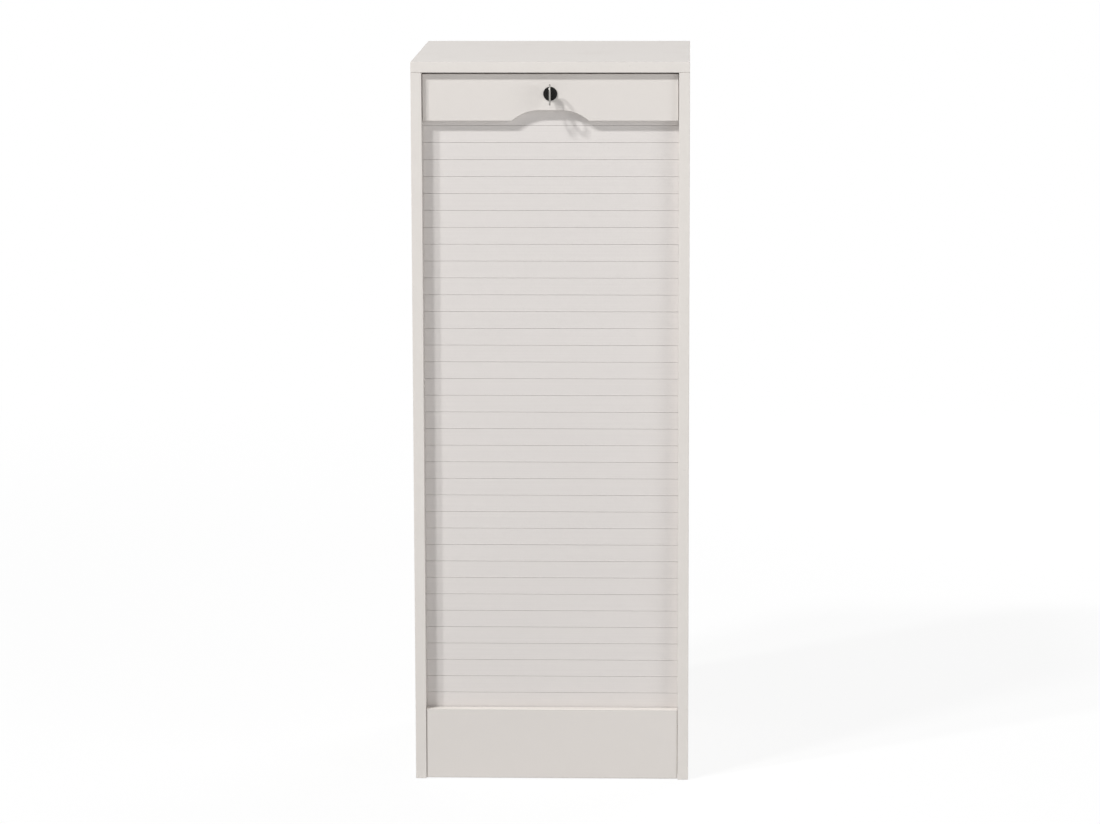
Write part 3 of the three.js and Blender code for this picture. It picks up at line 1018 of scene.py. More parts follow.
    def smooth(self) -> "Workpiece":
        """Shades round faces smooth and keeps corners crisp.

        Returns:
            This piece.
        """
        self.activate()
        bpy.ops.object.shade_smooth_by_angle(angle=SMOOTH_BELOW)
        return self.modify("WEIGHTED_NORMAL", keep_sharp=True, weight=FLAT_FACE_WEIGHT)

    def wear(self, *finishes: Finish) -> "Workpiece":
        """Puts finishes into the material slots, in order.

        Args:
            finishes: one for each slot.

        Returns:
            This piece.
        """
        self.obj.data.materials.clear()
        for finish in finishes:
            self.obj.data.materials.append(finish.material())
        return self

    def fit(self, body: Body, slot: Slot, *nodes: str) -> "Workpiece":
        """Smooths the finished piece, puts it on its body and hides the nodes that it stands for.

        Args:
            body: what it rides on.
            slot: not used.
            nodes: the nodes that it stands for.

        Returns:
            This piece.
        """
        self.smooth()
        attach(self.obj, body.value)
        if nodes:
            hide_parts(*nodes)
        log.info("%s: %d faces, on %s", self.obj.name, len(self.obj.data.polygons), body.value)
        return self


def rounded_route(corners: Sequence[Vector], radius: float, steps: int = 10) -> list[Vector]:
    """A route in a plane whose square corners are rounded.

    Args:
        corners: the ends and corners, each leg square to the next.
        radius: the radius of the bends.
        steps: how many stretches stand for each bend.

    Returns:
        The points of the route.
    """
    route = [corners[0]]
    for before, corner, after in zip(corners, corners[1:], corners[2:], strict=False):
        back = (before - corner).normalized()
        onward = (after - corner).normalized()
        middle = corner + radius * (back + onward)
        for i in range(steps + 1):
            angle = math.pi / 2 * i / steps
            route.append(middle - radius * (onward * math.cos(angle) + back * math.sin(angle)))
    return [*route, corners[-1]]


# Carcass


@dataclass
class Carcass:
    """The boards that stand still: sides, top, plinth, floor boards, shelves and stretcher."""

    top_seam: float = 0.0002
    band: float = 0.001
    glue: float = 0.00018
    edge_radius: float = 0.0007
    groove_width: float = 0.007
    groove_depth: float = 0.008
    slat_middle: float = 0.0225
    bend_radius: float = 0.05
    low_run: float = 0.028
    back_run_inset: float = 0.014
    back_run_top: float = 0.826
    back_seat: float = 0.0043
    back_slack: float = 0.0003
    pin_pitch: float = 0.032
    pins_below: int = 3
    pins_per_row: int = 7
    pin_radius: float = 0.0028
    pin_depth: float = 0.0093
    cam_reach: float = 0.034
    cam_pocket_radius: float = 0.0078
    cam_pocket_depth: float = 0.0125
    front_banded: Sequence[str] = (
        "bottom_panel", "base_board", "middle_shelf", "lower_shelf", "upper_shelf", "rear_stretcher",
    )
    cam_boards: Sequence[str] = ("bottom_panel", "base_board", "middle_shelf")

    def build(self) -> None:
        """Builds and dresses every board."""
        self.level_board("top_panel", Banding.AROUND)
        self.level_board("plinth_board", Banding.AROUND)
        for node in self.front_banded:
            self.level_board(node, Banding.FRONT)
        for side in Side:
            self.side_panel(side)

    def banded(self, name: str, low: Vector, high: Vector, banding: Banding) -> Workpiece:
        """A board with its edge band, glue lines and softened edges.

        Args:
            name: the piece's name.
            low: the board's lowest corner.
            high: its highest corner.
            banding: which edges have band.

        Returns:
            The board, wearing its finishes.
        """
        piece = Workpiece.box(name, low, high).wear(*BOARD_FINISHES)
        if banding is Banding.AROUND:
            self.band_around(piece, low, high)
        else:
            self.band_front(piece, low)
        return piece.bevel(is_corner, self.edge_radius)

    def band_front(self, piece: Workpiece, low: Vector) -> None:
        """Puts band on a board's front edge, a glue line behind it and leaves the rear edge raw.

        Args:
            piece: the board.
            low: its lowest corner.
        """
        for depth in (self.band, self.band + self.glue):
            piece.slice(low + INWARD * depth, INWARD)
        edge = low.y + self.band
        piece.paint(lambda face: face.calc_center_median().y < edge, Coat.BAND)
        piece.paint(lambda face: edge < face.calc_center_median().y < edge + self.glue, Coat.GLUE)
        piece.paint(facing(INWARD), Coat.CORE)

    def band_around(self, piece: Workpiece, low: Vector, high: Vector) -> None:
        """Puts band on a board's four edges, with a glue line round both of its faces.

        Args:
            piece: the board.
            low: its lowest corner.
            high: its highest corner.
        """
        thin = min(range(3), key=lambda axis: high[axis] - low[axis])
        flat = [axis for axis in range(3) if axis != thin]

        def is_wide(face: Face) -> bool:
            """True for the board's two large faces."""
            return abs(face.normal[thin]) > FACING

        def margin(face: Face) -> float:
            """How far the middle of a face is from the nearest edge of the board."""
            middle = face.calc_center_median()
            return min(min(middle[axis] - low[axis], high[axis] - middle[axis]) for axis in flat)

        piece.paint(lambda face: not is_wide(face), Coat.BAND)
        piece.inset(is_wide, self.band)
        piece.paint(lambda face: is_wide(face) and margin(face) < self.band, Coat.BAND)
        piece.inset(lambda face: is_wide(face) and margin(face) > self.band, self.glue)
        piece.paint(lambda face: is_wide(face) and 0 < margin(face) - self.band < self.glue, Coat.GLUE)

    def level_board(self, node: str, banding: Banding) -> None:
        """A board that stands for its node, with the pockets of its cams.

        Args:
            node: the node's name.
            banding: which edges have band.
        """
        low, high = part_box(node)
        if node == "top_panel":
            low += UP * self.top_seam
        piece = self.banded(node + "_laminated", low, high, banding)
        if node in self.cam_boards:
            for place in cam_places(low, high, self.cam_reach):
                mouth = place - UP * OVERRUN
                end = place + UP * self.cam_pocket_depth
                piece.cut(Workpiece.rod("pocket", mouth, end, self.cam_pocket_radius, Sides.WIDE_HOLE))
            piece.paint(lambda face: self.in_pocket(face, low, high), Coat.CORE)
        piece.fit(Body.CABINET, Slot.LAMINATE, node)

    def in_pocket(self, face: Face, low: Vector, high: Vector) -> bool:
        """True for a face of a pocket, well inside the board.

        Args:
            face: the face.
            low: the board's lowest corner.
            high: its highest corner.

        Returns:
            Whether the face shows the raw core.
        """
        middle = face.calc_center_median()
        return low.z + self.edge_radius < middle.z < high.z - self.edge_radius and all(
            low[axis] + self.band < middle[axis] < high[axis] - self.band for axis in (0, 1)
        )

    def side_panel(self, side: Side) -> None:
        """A side panel with its curtain groove, its slot for the inner back and its pin holes.

        Args:
            side: which panel it is.
        """
        node = f"side_panel_{side.name.lower()}"
        low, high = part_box(node)
        inner = low.x if side is Side.RIGHT else high.x
        piece = self.banded(node + "_laminated", low, high, Banding.FRONT)
        piece.cut(self.groove(low, high, inner, side), self.back_slot(high, inner, side))
        piece.cut(self.pin_holes(inner, side))
        piece.paint(lambda face: self.is_routed(face, low, high), Coat.CORE)
        piece.fit(Body.CABINET, Slot.LAMINATE, node)

    def is_routed(self, face: Face, low: Vector, high: Vector) -> bool:
        """True for a face inside a board or on an end that has no band.

        Args:
            face: the face.
            low: the board's lowest corner.
            high: its highest corner.

        Returns:
            Whether the face shows the raw core.
        """
        middle = face.calc_center_median()
        skin = min(middle.x - low.x, high.x - middle.x)
        banded = middle.y < low.y + self.band + self.glue
        return not banded and (skin > self.edge_radius or abs(face.normal.z) > FACING)

    def groove(self, low: Vector, high: Vector, inner: float, side: Side) -> Workpiece:
        """The cutter of the curtain's groove, along its route down, round the foot and up.

        Args:
            low: the panel's lowest corner.
            high: its highest corner.
            inner: where its inner face is.
            side: which panel it is.

        Returns:
            The cutter.
        """
        front = low.y + self.slat_middle
        back = high.y - self.back_run_inset
        corners = [
            Vector((front, high.z + OVERRUN)), Vector((front, low.z + self.low_run)),
            Vector((back, low.z + self.low_run)), Vector((back, self.back_run_top)),
        ]
        curve = bpy.data.curves.new("groove", "CURVE")
        curve.dimensions = "3D"
        route = rounded_route(corners, self.bend_radius)
        spline = curve.splines.new("POLY")
        spline.points.add(len(route) - 1)
        for point, place in zip(spline.points, route, strict=True):
            point.co = (place.x, place.y, 0, 1)
        curve.extrude = (self.groove_depth + OVERRUN) / 2
        middle = inner + side.value * (self.groove_depth - OVERRUN) / 2
        turn = Matrix((INWARD, UP, RIGHT)).transposed().to_euler()
        cutter = Workpiece.from_curve("groove", curve, turn, Vector((middle, 0, 0)))
        return cutter.modify("SOLIDIFY", thickness=self.groove_width, offset=0.0, use_even_offset=True)

    def back_slot(self, high: Vector, inner: float, side: Side) -> Workpiece:
        """The cutter of the slot that holds the inner back panel.

        Args:
            high: the side panel's highest corner.
            inner: where its inner face is.
            side: which panel it is.

        Returns:
            The cutter.
        """
        seat_low, seat_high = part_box("inner_back_panel")
        mouth, end = inner - side.value * OVERRUN, inner + side.value * self.back_seat
        front, rear = seat_low.y - self.back_slack, seat_high.y + self.back_slack
        start = Vector((mouth, front, seat_low.z - self.back_slack))
        return Workpiece.box("back_slot", start, Vector((end, rear, high.z + OVERRUN)))

    def pin_holes(self, inner: float, side: Side) -> Workpiece:
        """The cutters of the rows of pin holes, joined.

        Args:
            inner: where the side panel's inner face is.
            side: which panel it is.

        Returns:
            The cutter.
        """
        across = side.value * RIGHT
        middles = [sum(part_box(node), Vector()) / 2 for node in SHELF_PINS]
        places = sorted({(round(middle.y, DIGITS), round(middle.z, DIGITS)) for middle in middles})
        rods = []
        for y, z in places:
            for step in range(self.pins_per_row):
                start = Vector((inner, y, z + (step - self.pins_below) * self.pin_pitch))
                end = start + self.pin_depth * across
                mouth = start - OVERRUN * across
                rods.append(Workpiece.rod("hole", mouth, end, self.pin_radius, Sides.PIN_HOLE))
        return rods[0].gather(rods[1:])


def cam_places(low: Vector, high: Vector, reach: float) -> list[Vector]:
    """The mouths of the four cam pockets under a board.

    Args:
        low: the board's lowest corner.
        high: its highest corner.
        reach: how far the pockets are from the board's ends.

    Returns:
        The middle of each mouth.
    """
    rows = sorted({round(sum(corner.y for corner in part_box(node)) / 2, DIGITS) for node in TOP_CAMS})
    return [Vector((x, y, low.z)) for x in (low.x + reach, high.x - reach) for y in rows]


# Back panels and the fasteners


@dataclass
class Screw:
    """A screw with a cross recess, modelled head up at the origin."""

    head: Head
    head_radius: float
    head_height: float
    shank_radius: float
    length: float
    recess_width: float = 0.0011
    recess_share: float = 0.62
    recess_depth_share: float = 0.75
    crown_share: float = 0.6
    thread_pitch: float = 0.0011
    root_share: float = 0.72
    tip_share: float = 0.15
    sink_rim: float = 0.00035 / 3

    def build(self, name: str) -> Workpiece:
        """Models the screw with its head's top at the origin and its tip below.

        Args:
            name: the piece's name.

        Returns:
            The screw.
        """
        foot = Vector((0, 0, -self.head_height))
        piece = Workpiece.rod(name, foot, Vector(), self.head_radius, Sides.SMALL)
        under = facing(-UP)
        share = self.shank_radius / self.head_radius
        if self.head is Head.COUNTERSUNK:
            with piece.editing(Pick.FACES, under):
                bpy.ops.transform.resize(value=(share, share, 1))
        else:
            piece.inset(under, self.head_radius - self.shank_radius)
        piece.extrude(under, *self.thread(), (-UP * self.shank_radius, (self.tip_share, self.tip_share, 1)))
        crown = self.head_height * self.crown_share if self.head is Head.PAN else self.sink_rim
        piece.bevel(rim_beyond(UP, 0), crown, Rounding.FULL)
        arm, half = self.head_radius * self.recess_share, self.recess_width / 2
        deep = UP * self.head_height * self.recess_depth_share
        for across in (Vector((arm, half, 0)), Vector((half, arm, 0))):
            piece.cut(Workpiece.box("recess", -across - deep, across + UP * OVERRUN))
        return piece

    def thread(self) -> list[tuple[Vector, Colour]]:
        """The steps that draw the shank out, ridge after ridge.

        Returns:
            How far each step goes, and how much it widens.
        """
        length = self.length - self.head_height - self.shank_radius
        turns = max(1, round(length / self.thread_pitch))
        half = -UP * length / (2 * turns)
        root = self.root_share
        return [(half, (root, root, 1)), (half, (1 / root, 1 / root, 1))] * turns

    def drive(self, name: str, nodes: Sequence[str], out: Vector, body: Body) -> None:
        """Drives a screw where each node is, in yellow zinc.

        Args:
            name: the pieces' name, before their number.
            nodes: the nodes that they stand for.
            out: the way that their heads look.
            body: what they ride on.
        """
        moves = [pointing(end_of(node, out), out) for node in nodes]
        for piece, node in zip(copies(self.build(name), name, moves), nodes, strict=True):
            piece.wear(YELLOW_ZINC).fit(body, Slot.ZINC, node)


def copies(model: Workpiece, name: str, moves: Sequence[Matrix]) -> list[Workpiece]:
    """Copies a model to each place, numbered from 1, and takes the model off the bench.

    Args:
        model: the piece as it was modelled.
        name: the copies' name, before their number.
        moves: where each copy goes.

    Returns:
        The copies.
    """
    made = [model.copy(f"{name}_{number}", move) for number, move in enumerate(moves, 1)]
    bpy.data.objects.remove(model.obj)
    return made


def pointing(place: Vector, up: Vector) -> Matrix:
    """The move that takes the origin to a place and +Z to a direction."""
    return Matrix.Translation(place) @ up.to_track_quat("Z", "Y").to_matrix().to_4x4()


def end_of(node: str, way: Vector) -> Vector:
    """The middle of a node's end, on the side that a way along one axis gives."""
    low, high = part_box(node)
    return (low + high) / 2 + way * abs((high - low).dot(way)) / 2


def inward_at(node: str) -> Vector:
    """The way from the side panel that holds a node to the cabinet's middle."""
    low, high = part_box(node)
    return -RIGHT if low.x + high.x > 0 else RIGHT


@dataclass
class BackPanels:
    """The outer back with its screws, and the inner back in front of the curtain's rear run."""

    screw: Screw = field(default_factory=lambda: Screw(
        Head.COUNTERSUNK, head_radius=0.003, head_height=0.0018, shank_radius=0.0015, length=0.012,
    ))
    sink_slack: float = 0.0003
    screws_per_side: int = 6
    end_inset: float = 0.04
    side_inset: float = 0.006
    middle_spacing: float = 0.18
    edge_radius: float = 0.0003

    def build(self) -> None:
        """Builds both panels and the screws."""
        low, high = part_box("inner_back_panel")
        inner = self.sheet("inner_back_sheet", low, high)
        inner.fit(Body.CABINET, Slot.HARDBOARD, "inner_back_panel")
        low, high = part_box("outer_back_panel")
        outer = self.sheet("outer_back_sheet", low, high)
        places = self.places(low, high)
        sinks = [self.sink(place) for place in places]
        outer.cut(sinks[0].gather(sinks[1:]))
        outer.fit(Body.CABINET, Slot.HARDBOARD, "outer_back_panel")
        model = self.screw.build("back_screw")
        for piece in copies(model, "back_screw", [pointing(place, INWARD) for place in places]):
            piece.wear(YELLOW_ZINC).fit(Body.CABINET, Slot.ZINC)

    def sheet(self, name: str, low: Vector, high: Vector) -> Workpiece:
        """A sheet of fibreboard, lacquered on its faces and raw along its edges.

        Args:
            name: the piece's name.
            low: its lowest corner.
            high: its highest corner.

        Returns:
            The sheet, wearing its finishes.
        """
        piece = Workpiece.box(name, low, high).wear(FIBREBOARD, CUT_FIBRE)
        piece.paint(lambda face: abs(face.normal.y) < FACING, BackCoat.CUT)
        return piece.bevel(is_corner, self.edge_radius, Rounding.SLIGHT)

    def places(self, low: Vector, high: Vector) -> list[Vector]:
        """Where the heads of the back's screws lie.

        Args:
            low: the outer back's lowest corner.
            high: its highest corner.

        Returns:
            The middle of each head.
        """
        rise = (high.z - low.z - 2 * self.end_inset) / (self.screws_per_side - 1)
        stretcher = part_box("rear_stretcher")
        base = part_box("base_board")
        rows = [(base[0].z + base[1].z) / 2, (stretcher[0].z + stretcher[1].z) / 2]
        edge = high.x - self.side_inset
        found = [
            Vector((side.value * edge, high.y, low.z + self.end_inset + i * rise))
            for side in Side for i in range(self.screws_per_side)
        ]
        found += [Vector((side.value * self.middle_spacing / 2, high.y, z)) for side in Side for z in rows]
        return found

    def sink(self, place: Vector) -> Workpiece:
        """The cutter of one countersunk hole through the outer back.

        Args:
            place: the middle of the screw's head.

        Returns:
            The cutter.
        """
        screw = self.screw
        wide = screw.head_radius + self.sink_slack
        narrow = screw.shank_radius + self.sink_slack
        start = place + INWARD * OVERRUN
        piece = Workpiece.rod("sink", place - INWARD * screw.head_height, start, wide, Sides.SMALL)
        piece.slice(place, INWARD)
        inner = facing(-INWARD)
        with piece.editing(Pick.FACES, inner):
            bpy.ops.transform.resize(value=(narrow / wide, 1, narrow / wide))
        return piece.extrude(inner, (-INWARD * 2 * screw.head_height, EVEN))


@dataclass
class Fittings:
    """Cams, bolts, dowels, shelf pins and the strike inside the carcass."""

    cam_radius: float = 0.0075
    cam_height: float = 0.0122
    cam_rim: float = 0.0005
    cam_lip: float = 0.001
    cam_dish_slope: float = 0.00025
    cam_bore: float = 0.004
    cam_bore_share: float = 1.5
    slot_reach_share: float = 0.62
    slot_half_width: float = 0.0008
    slot_depth_share: float = 1 / 3
    board_half: float = 0.008
    pin_rim: float = 0.00025
    pin_radius: float = 0.0025
    pin_collar: float = 0.004
    pin_collar_height: float = 0.0012
    pin_reach: float = 0.008
    pin_seat: float = 0.009
    bend_radius: float = 0.0006
    strike_screw: Screw = field(default_factory=lambda: Screw(
        Head.PAN, head_radius=0.0032, head_height=0.0018, shank_radius=0.0015, length=0.013,
    ))
    kept: Mapping[str, Finish] = field(default_factory=lambda: {"dowel": BEECH, "cam_bolt": ZINC})

    def build(self, carcass: Carcass) -> None:
        """Builds the fittings.

        Args:
            carcass: gives the places of the cams under its boards.
        """
        self.cams(carcass)
        self.pins()
        self.strike()
        self.dress_kept()

    def dress_kept(self) -> None:
        """Dresses the nodes that stay as they are, the dowels and the cam bolts."""
        for name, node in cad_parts.items():
            for start, finish in self.kept.items():
                if name.startswith(start):
                    Workpiece(node).wear(finish)
                    log.info("%s: kept as it is, in %s", name, finish.name)

    def cam(self) -> Workpiece:
        """Models a cam housing, its mouth at the origin facing up, with its turning slot.

        Returns:
            The housing.
        """
        foot = -UP * self.cam_height
        piece = Workpiece.rod("cam", foot, Vector(), self.cam_radius, Sides.CAM)
        mouth = facing(UP)
        piece.bevel(rim_beyond(UP, 0), self.cam_rim)
        piece.inset(mouth, self.cam_lip)
        piece.inset(mouth, self.cam_dish_slope, -self.cam_rim)
        arm, half = self.cam_radius * self.slot_reach_share, self.slot_half_width
        deep = UP * self.cam_height * self.slot_depth_share
        for across in (Vector((arm, half, 0)), Vector((half, arm, 0))):
            piece.cut(Workpiece.box("slot", -across - deep, across + UP * OVERRUN))
        middle = -UP * self.board_half
        through = RIGHT * self.cam_radius * self.cam_bore_share
        return piece.cut(Workpiece.rod("bore", middle, middle + through, self.cam_bore, Sides.SMALL))

    def cams(self, carcass: Carcass) -> None:
        """Places the cams of the top joints and those under the boards.

        Args:
            carcass: gives the places of the cams under its boards.
        """
        model = self.cam()
        spare = model.copy("cam_spare", Matrix.Identity(4))
        moves = []
        for node in TOP_CAMS:
            inward = inward_at(node)
            # The mouth looks inward, and the bore, along the model's +X, up to its bolt.
            sideways = Matrix((UP, inward.cross(UP), inward)).transposed().to_4x4()
            moves.append(Matrix.Translation(end_of(node, inward)) @ sideways)
        for piece, node in zip(copies(model, "top_cam", moves), TOP_CAMS, strict=True):
            piece.wear(ZINC).fit(Body.CABINET, Slot.ZINC, node)
        under = [
            pointing(place, -UP)
            for board in carcass.cam_boards
            for place in cam_places(*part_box(board), carcass.cam_reach)
        ]
        for piece in copies(spare, "board_cam", under):
            piece.wear(ZINC).fit(Body.CABINET, Slot.ZINC)

    def pins(self) -> None:
        """Models a shelf pin with its collar, and copies it to every seat."""
        model = Workpiece.rod("pin", -UP * self.pin_seat, Vector(), self.pin_radius, Sides.SMALL)
        widen = self.pin_collar / self.pin_radius
        model.extrude(
            facing(UP),
            (Vector(), (widen, widen, 1)),
            (UP * self.pin_collar_height, EVEN),
            (Vector(), (1 / widen, 1 / widen, 1)),
            (UP * (self.pin_reach - self.pin_collar_height), EVEN),
        )
        model.bevel(is_corner, self.pin_rim, Rounding.SLIGHT)
        moves = []
        for node in SHELF_PINS:
            inward = inward_at(node)
            moves.append(pointing(end_of(node, -inward) + inward * self.pin_seat, inward))
        for piece, node in zip(copies(model, "pin", moves), SHELF_PINS, strict=True):
            piece.wear(ZINC).fit(Body.CABINET, Slot.ZINC, node)

    def strike(self) -> None:
        """Rounds the strike's bends and screws it up."""
        piece = Workpiece.refined("strike_plate", "strike_bracket")
        piece.bevel(running(RIGHT, LONG_EDGE), self.bend_radius).wear(ZINC)
        piece.fit(Body.CABINET, Slot.ZINC, "strike_bracket")
        self.strike_screw.drive("strike_fixing", ("strike_screw_1", "strike_screw_2"), -UP, Body.CABINET)


# Curtain


@dataclass
class Curtain:
    """The lead rail and the slats that hang from it."""

    rail_radius: float = 0.0007
    arch_width: float = 0.114
    arch_top: float = 0.032
    arch_height: float = 0.0155
    shoulder_share: float = 0.46
    handle_share: float = 2 / 3
    arch_steps: int = 12
    rim_steps: int = 3
    lock_bore: float = 0.0083
    slat_pitch: float = 0.02517
    joint_gap: float = 0.0003
    slat_radius: float = 0.0003
    tongue_neck: float = 0.0014
    tongue_bead: float = 0.0024
    tongue_height: float = 0.0022
    tongue_slack: float = 0.00035
    lip_share: float = 1 / 3
    bead_share: float = 0.45
    bead_flare: float = 0.0002
    bead_taper: float = 0.85
    slats_per_section: int = 3
    sections: int = 12
    rail_screw: Screw = field(default_factory=lambda: Screw(
        Head.PAN, head_radius=0.0035, head_height=0.002, shank_radius=0.0016, length=0.014,
    ))

    def build(self) -> None:
        """Builds the rail, the slats behind it and the slats that hang below."""
        self.rail()
        self.slats()
        self.rail_screw.drive("rail_fixing", ("rail_screw_1", "rail_screw_2"), INWARD, Body.CURTAIN)

    def rail_outline(self, low: Vector, high: Vector) -> bpy.types.Curve:
        """The rail's front, drawn as a curve with the finger arch in its lower edge.

        Args:
            low: the rail's lowest corner.
            high: its highest corner.

        Returns:
            The curve, as thick as the rail and with its rims rounded.
        """
        base, crown = self.arch_width / 2, self.arch_top / 2
        shoulder = base - (base - crown) * self.shoulder_share
        roof = low.z + self.arch_height
        foot, peak, control = Vector((base, low.z)), Vector((crown, roof)), Vector((shoulder, roof))
        flip = Vector((-1, 1))
        low_handle = foot.lerp(control, self.handle_share)
        high_handle = peak.lerp(control, self.handle_share)
        points = [
            (Vector((low.x, low.z)), None, None),
            (foot * flip, None, low_handle * flip),
            (peak * flip, high_handle * flip, None),
            (peak, None, high_handle),
            (foot, low_handle, None),
            (Vector((high.x, low.z)), None, None),
            (Vector((high.x, high.z)), None, None),
            (Vector((low.x, high.z)), None, None),
        ]
        curve = bpy.data.curves.new("rail_outline", "CURVE")
        curve.dimensions = "2D"
        curve.fill_mode = "BOTH"
        curve.resolution_u = self.arch_steps
        curve.extrude = (high.y - low.y) / 2 - self.rail_radius
        curve.bevel_depth = self.rail_radius
        curve.bevel_resolution = self.rim_steps
        curve.offset = -self.rail_radius
        spline = curve.splines.new("BEZIER")
        spline.use_cyclic_u = True
        spline.bezier_points.add(len(points) - 1)
        for point, (place, left, right) in zip(spline.bezier_points, points, strict=True):
            point.co = (*place, 0)
            point.handle_left_type = "VECTOR" if left is None else "FREE"
            point.handle_right_type = "VECTOR" if right is None else "FREE"
            if left is not None:
                point.handle_left = (*left, 0)
            if right is not None:
                point.handle_right = (*right, 0)
        return curve

    def rail(self) -> None:
        """Cuts the lock's bore into the rail and dresses it."""
        low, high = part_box("lead_rail")
        turn = Euler((math.pi / 2, 0, 0))
        place = Vector((0, (low.y + high.y) / 2, 0))
        piece = Workpiece.from_curve("rail_board", self.rail_outline(low, high), turn, place)
        piece.wear(LAMINATE, EDGE_BAND)
        piece.paint(lambda face: abs(face.normal.y) < FACING, Coat.BAND)
        piece.cut(self.bore(low.y - OVERRUN, high.y + OVERRUN))
        piece.fit(Body.CURTAIN, Slot.LAMINATE, "lead_rail")

    def bore(self, front: float, back: float) -> Workpiece:
        """The cutter of the lock's bore between two depths."""
        return Workpiece.rod("bore", lock_axis(front), lock_axis(back), self.lock_bore, Sides.RAIL_BORE)

    def slat(self, low: Vector, high: Vector) -> Workpiece:
        """One slat: rounded long edges, a tongue on top and a slot below for the next one's tongue.

        Args:
            low: the lowest corner of its body.
            high: the highest corner.

        Returns:
            The slat.
        """
        piece = Workpiece.box("slat", low, high)
        piece.bevel(running(RIGHT, LONG_EDGE), self.slat_radius)
        middle = (low.y + high.y) / 2
        neck, bead = self.tongue_neck / 2, self.tongue_bead / 2
        for reach in (-neck, neck):
            piece.slice(Vector((0, middle + reach, 0)), INWARD)
        bead_height = self.tongue_height * self.bead_share
        piece.extrude(
            lambda face: facing(UP)(face) and abs(face.calc_center_median().y - middle) < neck,
            (UP * (self.tongue_height - bead_height - self.bead_flare + self.joint_gap / 2), EVEN),
            (UP * self.bead_flare, (1, bead / neck, 1)),
            (UP * bead_height, (1, self.bead_taper, 1)),
        )
        mouth = neck + self.tongue_slack
        room = bead + self.tongue_slack
        start = Vector((low.x - OVERRUN, middle - mouth, low.z - OVERRUN))
        end = Vector((high.x + OVERRUN, middle + mouth, low.z + self.tongue_height))
        wide_start = Vector((start.x, middle - room, low.z + self.tongue_height * self.lip_share))
        wide_end = Vector((end.x, middle + room, low.z + self.tongue_height + self.tongue_slack))
        return piece.cut(Workpiece.box("mouth", start, end), Workpiece.box("room", wide_start, wide_end))

    def slats(self) -> None:
        """Copies the slat from the top of the rail down to the foot."""
        low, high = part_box("rail_slats")
        top = low.z + self.slats_per_section * self.slat_pitch
        gap = UP * self.joint_gap / 2
        first = self.slat(
            Vector((low.x, low.y, top - self.slat_pitch)) + gap, Vector((high.x, high.y, top)) - gap,
        )
        count = self.slats_per_section * (1 + self.sections)
        moves = [Matrix.Translation(-UP * self.slat_pitch * i) for i in range(count)]
        for i, piece in enumerate(copies(first, "slat", moves)):
            section = i // self.slats_per_section
            node = f"curtain_section_{section:02d}" if section else "rail_slats"
            piece.wear(SLAT_PLASTIC)
            if not section:
                piece.cut(self.bore(low.y - OVERRUN, high.y + OVERRUN))
            piece.fit(Body.CURTAIN, Slot.SLAT, node)
            if section:
                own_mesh(piece.obj)


def lock_axis(depth: float) -> Vector:
    """The point of the lock's axis at a depth, in the middle of its plug."""
    low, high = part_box("lock_plug")
    return Vector(((low.x + high.x) / 2, depth, (low.z + high.z) / 2))


# Lock and key


